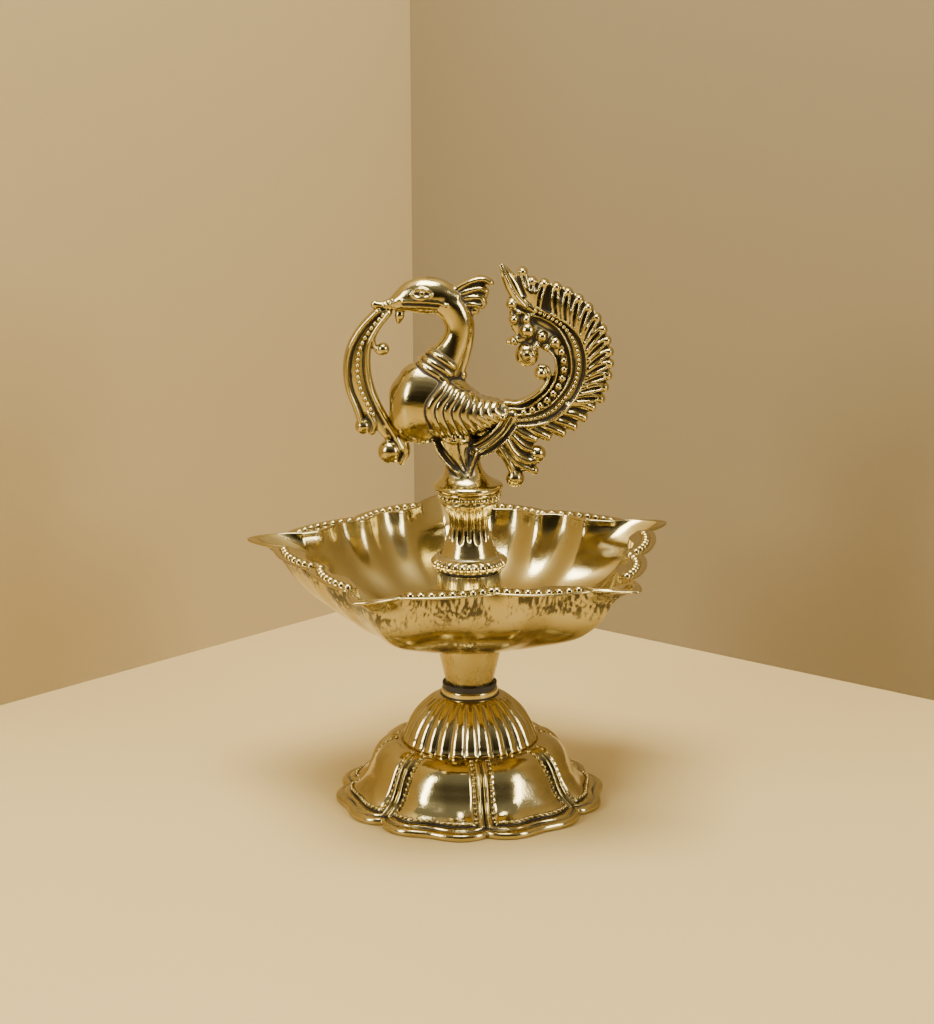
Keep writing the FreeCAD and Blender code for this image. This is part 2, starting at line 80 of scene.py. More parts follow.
# %% [markdown]
# ## Skins
#
# A casting is a closed skin. Most skins here are a stack of rings: every ring has the same number
# of points, neighbours are joined by four-sided faces, and the two end rings are closed with a fan.
# Laying the rings out with numpy keeps each shape a short formula over angle and height.

# %% Rings to a mesh object


def fan(ring, centre, outward_first):
    """Triangles that close one end ring onto its centre point."""
    following = ring[1:] + ring[:1]
    if outward_first:
        return [(centre, b, a) for a, b in zip(ring, following)]
    return [(centre, a, b) for a, b in zip(ring, following)]


def ring_skin(rings):
    """Points and faces of a closed skin through rings, an array of ring, column and x, y, z."""
    ring_count, column_count, _ = rings.shape
    points = rings.reshape(-1, 3)
    index = np.arange(ring_count * column_count).reshape(ring_count, column_count)
    here, beside = index[:-1], np.roll(index[:-1], -1, axis=1)
    above, above_beside = index[1:], np.roll(index[1:], -1, axis=1)
    faces = np.stack([here, beside, above_beside, above], axis=-1).reshape(-1, 4).tolist()
    first, last = len(points), len(points) + 1
    faces += fan(index[0].tolist(), first, True) + fan(index[-1].tolist(), last, False)
    ends = np.array([rings[0].mean(axis=0), rings[-1].mean(axis=0)])
    return np.vstack([points, ends]), faces


def looped_skin(rings):
    """Points and faces of a closed skin whose last ring joins its first, like a tyre."""
    ring_count, column_count, _ = rings.shape
    index = np.arange(ring_count * column_count).reshape(ring_count, column_count)
    beside = np.roll(index, -1, axis=1)
    above, above_beside = np.roll(index, -1, axis=0), np.roll(beside, -1, axis=0)
    faces = np.stack([index, beside, above_beside, above], axis=-1).reshape(-1, 4).tolist()
    return rings.reshape(-1, 3), faces


def joined(parts):
    """Several skins as one list of points and one of faces."""
    points, faces, count = [], [], 0
    for part_points, part_faces in parts:
        points.append(part_points)
        faces += [tuple(corner + count for corner in face) for face in part_faces]
        count += len(part_points)
    return np.vstack(points), faces


def new_object(name, data):
    """An object in the scene that shows a mesh, a camera or a light."""
    made = bpy.data.objects.new(name, data)
    bpy.context.scene.collection.objects.link(made)
    return made


def mesh_object(name, skin):
    """A smooth-shaded object at the origin from points in millimetres and faces."""
    points, faces = skin
    mesh = bpy.data.meshes.new(name)
    mesh.from_pydata((points * MM).tolist(), [], faces)
    mesh.shade_smooth()
    return new_object(name, mesh)


def positions(mesh):
    places = np.empty(len(mesh.vertices) * 3)
    mesh.vertices.foreach_get("co", places)
    return places.reshape(-1, 3)


def normals(mesh):
    directions = np.empty(len(mesh.vertices) * 3)
    mesh.vertex_normals.foreach_get("vector", directions)
    return directions.reshape(-1, 3)


def store(mesh, name, values):
    """Keep one number for every point of a mesh, where a material can read it."""
    attribute = mesh.attributes.new(name, "FLOAT", "POINT")
    attribute.data.foreach_set("value", values.astype(np.float32))


print("shapes are drawn in units of", MM, "m")


# %% [markdown]
# ## Smooth lines through a few points
#
# Profiles and limbs are drawn with only the points that matter. A Catmull-Rom curve passes through
# all of them, and points may carry more than a place: a half width and a half depth ride along.

# %% A curve through points


def smooth_line(points, steps):
    """steps evenly spread places on the Catmull-Rom curve through points, of any dimension."""
    knots = np.array(points, dtype=float)
    padded = np.vstack([2 * knots[0] - knots[1], knots, 2 * knots[-1] - knots[-2]])
    spots = np.linspace(0, len(knots) - 1, steps * 4)
    span = np.minimum(spots.astype(int), len(knots) - 2)
    t = (spots - span)[:, None]
    a, b, c, d = (padded[span + k] for k in range(4))
    dense = 0.5 * (2 * b + (c - a) * t + (2 * a - 5 * b + 4 * c - d) * t ** 2
                   + (3 * b - a - 3 * c + d) * t ** 3)
    length = np.concatenate([[0], np.cumsum(np.linalg.norm(np.diff(dense[:, :2], axis=0), axis=1))])
    even = np.linspace(0, length[-1], steps)
    return np.stack([np.interp(even, length, column) for column in dense.T], axis=1)


def rise(value, low, high):
    """0 below low, 1 above high, and an easy slope between."""
    share = np.clip((value - low) / (high - low), 0, 1)
    return share * share * (3 - 2 * share)


def bump(value, centre, width):
    """A rounded bump of height 1."""
    return np.exp(-((value - centre) / width) ** 2)


# %% [markdown]
# ## Writing node trees like sums
#
# Node trees for shaders and for geometry are long when every node is placed by hand. A small
# wrapper round a socket turns +, -, * and / into Math nodes, and one method adds any other node.

# %% Sockets that can be added and multiplied


class Wire:
    """A node's output. Arithmetic on it adds Math nodes to the same tree."""

    def __init__(self, bench, socket):
        self.bench = bench
        self.socket = socket

    def math(self, operation, *values):
        return self.bench.add("ShaderNodeMath", {"operation": operation}, values)

    def __add__(self, other):
        return self.math("ADD", self, other)

    def __sub__(self, other):
        return self.math("SUBTRACT", self, other)

    def __rsub__(self, other):
        return self.math("SUBTRACT", other, self)

    def __mul__(self, other):
        return self.math("MULTIPLY", self, other)

    def __truediv__(self, other):
        return self.math("DIVIDE", self, other)

    def __rtruediv__(self, other):
        return self.math("DIVIDE", other, self)

    def __pow__(self, other):
        return self.math("POWER", self, other)

    __radd__ = __add__
    __rmul__ = __mul__

    def sine(self):
        return self.math("SINE", self)

    def size(self):
        return self.math("ABSOLUTE", self)

    def between(self, low, high):
        """0 at low, 1 at high, held to 0 and 1 outside."""
        settings = {"interpolation_type": "SMOOTHSTEP"}
        return self.bench.add("ShaderNodeMapRange", settings, [self, low, high, 0.0, 1.0])


class Bench:
    """A node tree under construction."""

    def __init__(self, tree):
        self.tree = tree

    def add(self, kind, settings=None, inputs=(), output=0):
        """One node: its settings first, then the values or links of its sockets."""
        node = self.tree.nodes.new(kind)
        for key, setting in (settings or {}).items():
            setattr(node, key, setting)
        pairs = inputs.items() if isinstance(inputs, dict) else enumerate(inputs)
        for key, value in pairs:
            if isinstance(value, Wire):
                self.tree.links.new(value.socket, node.inputs[key])
            elif value is not None:
                node.inputs[key].default_value = value
        return Wire(self, node.outputs[output])

    def output(self, node_output, name):
        """Another output of the node that node_output came from."""
        return Wire(self, node_output.socket.node.outputs[name])


print("node helpers ready")

# %% [markdown]
# ## Patina that knows the shape
#
# Old polished brass is bright where a cloth reaches it and nearly black where it does not. Both
# depend on the shape, so each mesh gets a "cavity" attribute: how far, in millimetres, a point lies
# below the average of its neighbourhood. Hollows come out positive and ridges negative. The same
# number, stored once, serves every brass material, and it stays put when the lamp is taken apart.

# %% Cavity attribute
BROAD_PASSES = 50
BROAD_SHARE = 0.45


def neighbour_mean(mesh):
    """A function that replaces a value on every vertex with the mean over its neighbours."""
    ends = np.empty(len(mesh.edges) * 2, dtype=np.int64)
    mesh.edges.foreach_get("vertices", ends)
    left, right = ends[0::2], ends[1::2]
    count = len(mesh.vertices)
    valence = np.maximum(np.bincount(ends, minlength=count), 1)

    def mean(column):
        total = np.bincount(left, weights=column[right], minlength=count)
        total += np.bincount(right, weights=column[left], minlength=count)
        return total / valence

    return mean


def smoothed(mesh, places, passes):
    mean = neighbour_mean(mesh)
    for _ in range(passes):
        places = np.stack([0.5 * column + 0.5 * mean(column) for column in places.T], axis=1)
    return places


def mark_cavities(piece, passes):
    """Store the cavity attribute on a piece: fine hollows, and part of the broad ones round them."""
    mesh = piece.data
    places, facing = positions(mesh), normals(mesh)
    near = smoothed(mesh, places, passes)
    wide = smoothed(mesh, near, BROAD_PASSES)
    fine = np.einsum("ij,ij->i", near - places, facing) / MM
    broad = np.einsum("ij,ij->i", wide - near, facing) / MM
    depth = fine + BROAD_SHARE * broad
    store(mesh, "cavity", depth)
    print(f"{piece.name}: {len(mesh.vertices)} points, cavity {depth.min():.2f} to {depth.max():.2f} mm")


# %% [markdown]
# ## Brass
#
# Brass is a metal, so its colour is the colour of its reflections: one pale gold, slightly redder
# and darker where the skin is old. Three things are laid over it. The cavity attribute drives the
# black-brown patina and makes it rough and half metallic, as an oxide is. Broad noise makes the
# polish uneven. Fine stretched noise gives the hairlines that rubbing leaves, through a weak bump.

# %% Brass materials
GOLD = (0.485, 0.40, 0.172, 1)
OLD_GOLD = (0.31, 0.225, 0.07, 1)
PATINA = (0.020, 0.013, 0.006, 1)


def coloured_mix(bench, factor, first, second):
    """Blend two colours."""
    node = bench.add("ShaderNodeMix", {"data_type": "RGBA"}, {0: factor, 6: first, 7: second})
    return Wire(bench, node.socket.node.outputs[2])


def noise(bench, place, scale, detail=3.0, stretch=(1, 1, 1)):
    """Noise at scale features per metre, stretched along the axes, about 0 to 1."""
    mapped = bench.add("ShaderNodeMapping", {"vector_type": "POINT"}, {"Vector": place, "Scale": stretch})
    return bench.add("ShaderNodeTexNoise", {}, {"Vector": mapped, "Scale": scale, "Detail": detail})


def new_material(name):
    """An empty material with its output, and the bench to build it on."""
    material = bpy.data.materials.new(name)
    material.use_nodes = True
    material.node_tree.nodes.clear()
    bench = Bench(material.node_tree)
    place = bench.add("ShaderNodeTexCoord", {}, (), "Object")
    return material, bench, place


def finish_material(bench, shader):
    last = bench.tree.nodes.new("ShaderNodeOutputMaterial")
    bench.tree.links.new(shader.socket, last.inputs["Surface"])


def mark_outside(piece):
    """Store 1 on the skin that faces away from the axis and 0 on the skin that faces it."""
    mesh = piece.data
    places, facing = positions(mesh), normals(mesh)
    from_axis = np.maximum(np.hypot(places[:, 0], places[:, 1]), 1e-6)
    away = (places[:, :2] * facing[:, :2]).sum(axis=1) / from_axis
    store(mesh, "outside", rise(away, 0.1, 0.4))


def brass(name, polish, soiling, hollow=0.22, streak=None, smudge=0.0, lines=(1, 1, 6)):
    """A brass finish. polish is the lowest roughness, soiling how much old skin shows on the
    open surface, hollow the cavity depth in millimetres that is fully black, and streak the
    heights between which dark runs hang on the outside. smudge is the strength of dark patches."""
    material, bench, place = new_material(name)
    cavity = bench.add("ShaderNodeAttribute", {"attribute_name": "cavity"}, (), "Fac")
    broad = noise(bench, place, 55, 4)
    cloud = noise(bench, place, 190, 5)
    grain = noise(bench, place, 1500, 3)
    hairline = noise(bench, place, 900, 2, lines)
    dark = (cavity + (cloud - 0.5) * hollow * 0.6).between(hollow * 0.1, hollow)
    film = (broad * 0.6 + cloud * 0.4).between(0.62 - 0.5 * soiling, 0.95 - 0.35 * soiling)
    if smudge:
        blot = (broad * 0.5 + grain * 0.2 + cloud * 0.3).between(0.52, 0.66) * smudge
        dark = dark.math("MAXIMUM", dark, blot)
    if streak:
        height = bench.add("ShaderNodeSeparateXYZ", {}, {"Vector": place}, "Z")
        outside = bench.add("ShaderNodeAttribute", {"attribute_name": "outside"}, (), "Fac")
        runs = noise(bench, place, 900, 5, (1, 1, 0.1))
        patch = noise(bench, place, 75, 2)
        zone = height.between(streak[0] * MM, streak[1] * MM) * outside
        zone = zone * (1 - height.between(streak[2] * MM, streak[3] * MM))
        run = (runs * 0.5 + patch * 0.5 + zone * 0.12).between(0.58, 0.67) * zone
        dark = dark.math("MAXIMUM", dark, run * 0.9)
    metal = coloured_mix(bench, film * 0.75, GOLD, OLD_GOLD)
    colour = coloured_mix(bench, dark, metal, PATINA)
    roughness = polish + film * 0.12 + (cloud - 0.5) * 0.06 + dark * 0.35
    metallic = 1 - dark * 0.6
    dents = bench.add("ShaderNodeBump", {}, {"Height": grain * 0.5 + hairline * 0.35 + cloud * 0.8,
                                             "Strength": 0.10, "Distance": 0.0004})
    shader = bench.add("ShaderNodeBsdfPrincipled", {}, {
        "Base Color": colour, "Roughness": roughness, "Metallic": metallic, "Normal": dents})
    finish_material(bench, shader)
    return material


cast_brass = brass("cast_brass", 0.12, 0.3, hollow=0.22, smudge=0.2)
bowl_brass = brass("bowl_brass", 0.14, 0.2, hollow=1.6, streak=(66, 77, 82.6, 83.4))
figure_brass = brass("figure_brass", 0.14, 0.35, hollow=0.13)
turned_brass = brass("turned_brass", 0.18, 0.7, smudge=0.75, lines=(1, 1, 14))
print("brass finishes:", [m.name for m in (cast_brass, bowl_brass, figure_brass, turned_brass)])

# %% [markdown]
# ## Rubber
#
# The ring between foot and bowl is black rubber that has been squeezed for years: dull, slightly
# grey with dust, with a fine pitted skin. It is not a metal, so its colour is its own.

# %% Rubber material
CLEAN_RUBBER = (0.010, 0.009, 0.008, 1)
DUSTY_RUBBER = (0.035, 0.030, 0.025, 1)


def rubber(name):
    """Dull black rubber with dust on it and a pitted skin."""
    material, bench, place = new_material(name)
    dust = noise(bench, place, 260, 5).between(0.45, 0.8)
    pits = noise(bench, place, 2600, 2)
    colour = coloured_mix(bench, dust * 0.5, CLEAN_RUBBER, DUSTY_RUBBER)
    pitted = bench.add("ShaderNodeBump", {}, {"Height": pits, "Strength": 0.35, "Distance": 0.0002})
    shader = bench.add("ShaderNodeBsdfPrincipled", {}, {
        "Base Color": colour, "Roughness": 0.5 + dust * 0.3, "Normal": pitted})
    finish_material(bench, shader)
    return material


black_rubber = rubber("black_rubber")
print("rubber finish:", black_rubber.name)

# %% [markdown]
# ## Which piece rides on what
#
# Every finished piece is dressed in one call: its material, the body that it moves with and the
# plain solid of the frame that it stands for.

# %% Dressing a piece


def dress(piece, material, body, slot, *nodes):
    """Give a finished piece its material, body and the frame pieces it replaces. The slot is not used."""
    piece.data.materials.clear()
    piece.data.materials.append(material)
    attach(piece, body)
    if nodes:
        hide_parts(*nodes)
    print(f"{piece.name} rides on {body}")


# %% [markdown]
# ## Beads, by Geometry Nodes
#
# Rows of small beads run inside the petals' borders, round the bowl's rim and the pillar's upper
# collar, and along the swan's tail and strand.
# They could be copied by hand, but a bead row is a rule: a line, a pitch and a bead. The tree below
# turns the line's edges into a curve, spaces points along it, sets a low bead on each, and makes
# the copies real. The size and the pitch are its inputs, so one tree strings every row.

# %% Bead tree
BEAD_SEGMENTS = 10
BEAD_RINGS = 6


def named_inputs(tree, inputs):
    """Interface of a geometry tree: geometry in and out, and one float per named input."""
    tree.interface.new_socket("Geometry", in_out="INPUT", socket_type="NodeSocketGeometry")
    for name, value in inputs.items():
        socket = tree.interface.new_socket(name, in_out="INPUT", socket_type="NodeSocketFloat")
        socket.default_value = value
    tree.interface.new_socket("Geometry", in_out="OUTPUT", socket_type="NodeSocketGeometry")


def end_tree(bench, geometry, material):
    """Realize Instances, Set Material and the output."""
    real = bench.add("GeometryNodeRealizeInstances", {}, {"Geometry": geometry})
    dressed = bench.add("GeometryNodeSetMaterial", {}, {"Geometry": real, "Material": material})
    last = bench.tree.nodes.new("NodeGroupOutput")
    bench.tree.links.new(dressed.socket, last.inputs["Geometry"])


def bead_tree(material):
    """Low spheres spaced along the edges of a mesh. Flatness below 1 makes them lower."""
    tree = bpy.data.node_groups.new("string_beads", "GeometryNodeTree")
    named_inputs(tree, {"Radius": 0.8, "Pitch": 2.0, "Flatness": 1.0})
    bench = Bench(tree)
    line = bench.add("NodeGroupInput", {}, (), "Geometry")
    radius, pitch, flat = (bench.output(line, name) for name in ("Radius", "Pitch", "Flatness"))
    curve = bench.add("GeometryNodeMeshToCurve", {}, {"Mesh": line})
    spaced = bench.add("GeometryNodeResampleCurve", {"mode": "LENGTH"}, {"Curve": curve, "Length": pitch})
    bead = bench.add("GeometryNodeMeshUVSphere", {}, {
        "Segments": BEAD_SEGMENTS, "Rings": BEAD_RINGS, "Radius": radius})
    size = bench.add("ShaderNodeCombineXYZ", {}, {"X": 1.0, "Y": 1.0, "Z": flat})
    strung = bench.add("GeometryNodeInstanceOnPoints", {}, {
        "Points": spaced, "Instance": bead, "Scale": size})
    smooth = bench.add("GeometryNodeSetShadeSmooth", {}, {"Geometry": strung})
    end_tree(bench, smooth, material)
    return tree


def set_inputs(modifier, values):
    """Set a geometry modifier's inputs by their sockets' identifiers."""
    for item in modifier.node_group.interface.items_tree:
        if item.item_type == "SOCKET" and item.in_out == "INPUT" and item.name in values:
            modifier[item.identifier] = values[item.name]


def run_tree(piece, tree, values):
    """Evaluate a geometry tree on a piece once and keep the result as its plain mesh."""
    modifier = piece.modifiers.new(tree.name, "NODES")
    modifier.node_group = tree
    set_inputs(modifier, values)
    evaluated = piece.evaluated_get(bpy.context.evaluated_depsgraph_get())
    made = bpy.data.meshes.new_from_object(evaluated)
    piece.modifiers.clear()
    piece.data = made


def line_object(name, lines):
    """Edges along several lines of points, in millimetres. A line is a pair: points, closed."""
    points, edges = [], []
    for line, closed in lines:
        first = len(points)
        points += line.tolist()
        edges += [(first + k, first + k + 1) for k in range(len(line) - 1)]
        if closed:
            edges.append((len(points) - 1, first))
    mesh = bpy.data.meshes.new(name)
    mesh.from_pydata((np.array(points) * MM).tolist(), edges, [])
    return new_object(name, mesh)


def bead_row(name, lines, radius, pitch, flatness=1.0):
    """Beads strung along lines, with their radius and pitch in millimetres, as one plain mesh."""
    piece = line_object(name, lines)
    run_tree(piece, beads, {"Radius": radius * MM, "Pitch": pitch * MM, "Flatness": flatness})
    print(f"{name}: {len(piece.data.polygons)} faces")
    return piece


beads = bead_tree(cast_brass)
print("bead tree:", len(beads.nodes), "nodes")

# %% [markdown]
# ## The lotus petals
#
# The foot's skirt is seven equal petals. Each has a rolled rim with two lobes, a raised border, a
# row of beads inside it and a smooth swelling panel. One petal could be modelled and copied round,
# but the seams would then need care. Here the whole skirt is one function of angle and height: the
# distance to the nearest petal boundary decides what is border, groove or panel.

# %% Petal layout
PETALS = 7
PETAL_TURN = 46.1
PETAL_HALF = 180 / PETALS
BORDER_COLUMNS = 36
PANEL_COLUMNS = 30
BORDER_SHARE = 0.62

# radius and height of the panel's middle line, from just inside the rim to the shoulder
PANEL_LINE = [(39.9, 2.5), (37.6, 3.9), (35.2, 5.6), (33.2, 8.2), (31.7, 11.5), (30.2, 14.8), (28.2, 17.5),
              (25.6, 19.2), (22.7, 19.8)]


def petal_columns():
    """Angles of one petal's columns from its middle, in degrees, close together at the borders."""
    edge = np.linspace(1, BORDER_SHARE, BORDER_COLUMNS, endpoint=False)
    middle = np.linspace(BORDER_SHARE, 0, PANEL_COLUMNS // 2, endpoint=False)
    side = np.concatenate([edge, middle]) * PETAL_HALF
    return np.concatenate([-side, [0], side[::-1][:-1]])


def rim_radius(from_middle):
    """Outline of a petal's rim: two lobes with a gentle dent between them."""
    share = from_middle / PETAL_HALF
    side = np.sin(np.pi / 2 * np.clip((1 - share) / 0.5, 0, 1)) ** 0.7
    dent = np.cos(np.pi / 2 * np.clip(share / 0.5, 0, 1)) ** 2
    return 40.4 + 3.6 * side - 1.3 * dent


def petal_relief(border, up):
    """How far the surface stands out at a distance from the petal's side, in millimetres."""
    fade = 1 - rise(up, 0.93, 1.0)
    panel = 1 - np.clip(1 - (border - 3.8) / 9.0, 0, 1) ** 2
    relief = -0.45 * bump(border, 0, 0.3) + 0.85 * bump(border, 1.15, 0.75)
    relief -= 0.7 * bump(border, 2.8, 0.8)
    relief += np.where(border > 3.8, 0.9 * panel, 0)
    return relief * fade


def skirt(from_middle, up):
    """Radius and height on the petals' outside. up runs from 0 inside the rim to 1 at the shoulder."""
    line = smooth_line(PANEL_LINE, 80)
    along = np.linspace(0, 1, len(line))
    radius, height = np.interp(up, along, line[:, 0]), np.interp(up, along, line[:, 1])
    away = np.abs(from_middle)
    follow = (1 - up) ** 3
    radius = radius + follow * (rim_radius(away) - rim_radius(0 * away))
    border = radius * np.radians(PETAL_HALF - away)
    bottom = (up - 0.02) * 34.0
    near = np.minimum(border, bottom + 1.2)
    relief = petal_relief(near, up) * rise(up, 0.0, 0.05)
    return radius + relief * 0.9, height + relief * 0.35


def petal_rings():
    """All rings of the skirt, from the floor outwards, up the outside and down the hollow."""
    one = petal_columns()
    from_middle = np.tile(one, PETALS)
    angles = np.radians(np.concatenate([one + PETAL_TURN + 2 * PETAL_HALF * k for k in range(PETALS)]))
    rim = rim_radius(np.abs(from_middle))
    rows = [(rim - 6.0, 0.9), (rim - 5.2, 0.0), (rim - 0.9, 0.0), (rim - 0.2, 0.35), (rim, 1.0),
            (rim - 0.05, 1.6), (rim - 0.35, 2.1), (rim - 0.9, 2.45), (rim - 1.4, 2.5),
            (rim - 1.8, 2.4), (rim - 2.1, 2.36)]
    rows += [skirt(from_middle, up) for up in np.linspace(0.0, 1.0, 84)]
    top_radius, top_height = rows[-1]
    rows += [(top_radius - 1.2, top_height - 0.2), (top_radius - 2.2, top_height - 1.0),
             (top_radius - 1.5, 16.8)]
    rows += [(26.6, 14.0), (28.6, 8.0), (31.0, 4.0), (rim - 7.4, 2.0)]
    rings = []
    for radius, height in rows:
        radius, height = radius + 0 * angles, height + 0 * angles
        rings.append(np.stack([radius * np.cos(angles), radius * np.sin(angles), height], axis=1))
    return np.array(rings)


petals = mesh_object("lotus_petals", looped_skin(petal_rings()))
mark_cavities(petals, 14)
dress(petals, cast_brass, "foot", "cast_brass", "lotus_foot")

# %% [markdown]
# The bead rows follow the same function: up one side of the panel, and back along its foot.

# %% Petal beads
PETAL_BEAD = 0.68
PETAL_BEAD_LIFT = 0.3


def petal_bead_line(middle, side):
    """One line of beads inside a petal's border: along the foot from the middle, then up a side."""
    foot_up, top_up = 0.115, 0.95
    corner = PETAL_HALF - math.degrees(2.8 / 38.0)
    low = [(side * corner * k / 12, foot_up) for k in range(13)]
    high = []
    for up in np.linspace(foot_up, top_up, 24)[1:]:
        radius = float(skirt(np.array(PETAL_HALF - 5.0), np.array(up))[0])
        high.append((side * (PETAL_HALF - math.degrees(2.8 / radius)), float(up)))
    places = []
    for from_middle, up in low + high:
        radius, height = skirt(np.array(from_middle), np.array(up))
        angle = math.radians(middle + from_middle)
        radius = float(radius) + PETAL_BEAD_LIFT
        places.append((radius * math.cos(angle), radius * math.sin(angle), float(height) + 0.1))
    return np.array(places), False


petal_lines = [petal_bead_line(PETAL_TURN + 2 * PETAL_HALF * k, side)
               for k in range(PETALS) for side in (-1, 1)]
petal_beads = bead_row("petal_beads", petal_lines, PETAL_BEAD, 1.75)
dress(petal_beads, cast_brass, "foot", "cast_brass", "lotus_foot")

# %% [markdown]
# ## Flutes and threads, by Geometry Nodes
#
# The dome, the pillar and its collar are turned shapes with lobes pressed into them, and a stud is a
# rod with a groove that climbs. Both are the same idea: start from a turned skin and move each
# point in or out by a wave of its angle. With a lead of zero the wave stands still and makes flutes.
# With a lead it climbs and makes a screw thread.

# %% Wave tree


def wave_tree(material):
    """Move points towards the axis by a wave of the angle and the height."""
    tree = bpy.data.node_groups.new("press_waves", "GeometryNodeTree")
    named_inputs(tree, {"Count": 1.0, "Turn": 0.0, "Lead": 0.0, "Depth": 0.0, "Sharpness": 1.0,
                        "Low": 0.0, "High": 1.0, "Fade": 0.001})
    bench = Bench(tree)
    skin = bench.add("NodeGroupInput", {}, (), "Geometry")
    count, turn, lead, depth, sharpness, low, high, fade = (
        bench.output(skin, name)
        for name in ("Count", "Turn", "Lead", "Depth", "Sharpness", "Low", "High", "Fade"))
    place = bench.add("GeometryNodeInputPosition")
    x = bench.add("ShaderNodeSeparateXYZ", {}, {"Vector": place}, "X")
    y, z = bench.output(x, "Y"), bench.output(x, "Z")
    angle = x.math("ARCTAN2", y, x) - turn
    radius = (x * x + y * y) ** 0.5
    wave = ((angle * count - z * lead) * 0.5).sine().size() ** sharpness
    window = ((z - low) / fade).between(0.0, 1.0) * ((high - z) / fade).between(0.0, 1.0)
    share = (1 - wave) * window * depth / radius.math("MAXIMUM", radius, 1e-6)
    offset = bench.add("ShaderNodeCombineXYZ", {}, {"X": x * share * -1, "Y": y * share * -1, "Z": 0.0})
    pressed = bench.add("GeometryNodeSetPosition", {}, {"Geometry": skin, "Offset": offset})
    end_tree(bench, pressed, material)
    return tree


waves = wave_tree(cast_brass)
print("wave tree:", len(waves.nodes), "nodes")


def turned_rings(profile, columns):
    """Rings round the axis through (radius, height) points."""
    angles = np.linspace(0, math.tau, columns, endpoint=False)
    rings = [np.stack([r * np.cos(angles), r * np.sin(angles), z + 0 * angles], axis=1)
             for r, z in profile]
    return np.array(rings)


def press(piece, count, depth, low, high, fade, turn=0.0, lead=0.0, sharpness=1.0):
    """Press lobes or a thread into a turned piece. Lengths in millimetres, turn in degrees."""
    run_tree(piece, waves, {
        "Count": float(count), "Turn": math.radians(turn), "Depth": depth * MM,
        "Lead": lead / MM, "Sharpness": sharpness, "Low": low * MM, "High": high * MM,
        "Fade": fade * MM})


# %% [markdown]
# ## The fluted dome
#
# Above the petals sits a dome of 28 flutes, four to a petal, whose lower edge hangs over a dark
# groove. It ends in the plain ring that carries the bowl. It is hollow, like the skirt.

# %% Dome
FLUTES = 4 * PETALS
DOME_LINE = [(20.3, 19.0), (21.3, 19.25), (21.95, 19.9), (21.95, 20.7), (21.4, 21.6), (20.8, 23.2),
             (19.7, 25.6), (17.9, 28.4), (15.6, 31.0), (12.8, 33.3), (10.6, 34.5), (9.3, 34.75),
             (9.1, 34.95), (9.1, 36.4), (8.8, 36.9), (8.3, FOOT_TOP)]
DOME_HOLLOW = [(4.05, FOOT_TOP), (4.05, 32.0), (9.4, 32.0), (11.8, 28.0), (17.2, 20.0), (18.6, 18.8)]


FLUTE_DEPTH = 1.0

dome_profile = [tuple(place) for place in smooth_line(DOME_LINE, 90)] + DOME_HOLLOW
dome = mesh_object("lotus_dome", looped_skin(turned_rings(dome_profile, FLUTES * 18)))
press(dome, FLUTES, FLUTE_DEPTH, 19.2, 34.6, 1.4, turn=PETAL_TURN, sharpness=0.75)
mark_cavities(dome, 10)
dress(dome, cast_brass, "foot", "cast_brass", "lotus_foot")

# %% [markdown]
# ## The bowl
#
# The bowl is a sheet-like casting: five spouts reach out, and between two spouts the side has two
# soft lobes that meet in a crease. Inside and outside are both written as radius over direction and
# height: a squared-off circle, plus lobes, plus the swelling of each spout. A few levels give the
# numbers and the heights between them are interpolated.

# %% Bowl plan
SPOUTS = 5
SPOUT_TURN = 26.3
SPOUT_HALF = 180 / SPOUTS
SPOUT_REACH = 73.0
LOBE_END = 20.5
BOSS_RADIUS = 10.4
BOSS_TOP = PILLAR_BASE - 0.8

# height, side radius, squareness, lobe depth, spout radius
INSIDE_LEVELS = [(55.5, 12.0, 0.0, 0.0, 12.0), (57.0, 19.0, 0.2, 0.2, 21.0), (60.0, 28.0, 0.4, 0.5, 32.0),
                 (63.0, 35.5, 0.6, 0.9, 41.5), (67.0, 41.0, 0.8, 1.3, 50.5), (72.0, 45.0, 0.9, 1.8, 56.0),
                 (78.0, 48.0, 0.98, 2.3, 60.3), (83.6, 49.3, 1.0, 2.7, 70.0)]
OUTSIDE_LEVELS = [(51.5, 10.7, 0.0, 0.0, 10.7), (52.6, 16.0, 0.1, 0.1, 16.5), (54.5, 22.0, 0.3, 0.2, 23.5),
                  (57.5, 29.5, 0.4, 0.4, 33.0), (62.0, 37.8, 0.65, 0.8, 45.5), (67.0, 43.8, 0.8, 1.2, 53.5),
                  (72.0, 47.6, 0.9, 1.6, 58.5), (78.0, 50.3, 0.98, 2.2, 62.8),
                  (82.4, 51.2, 1.0, 2.8, 69.5)]


def sector_columns():
    """Directions from the middle of a side, in degrees, close together near spouts and creases."""
    side = np.concatenate([np.linspace(0, 24, 22, endpoint=False), np.linspace(24, 36, 26)])
    return np.concatenate([-side[::-1][:-1], side[:-1]])


SECTOR = sector_columns()
FROM_SIDE = np.abs(np.tile(SECTOR, SPOUTS))
DIRECTIONS = np.radians(np.concatenate([
    SECTOR + SPOUT_TURN + SPOUT_HALF * (2 * k + 1) for k in range(SPOUTS)]))
print("the bowl has", len(DIRECTIONS), "columns")


def level(levels, height):
    """Side radius, squareness, lobe depth and spout radius at a height."""
    table = smooth_line(levels, 200)
    return [np.interp(height, table[:, 0], table[:, k]) for k in range(1, 5)]


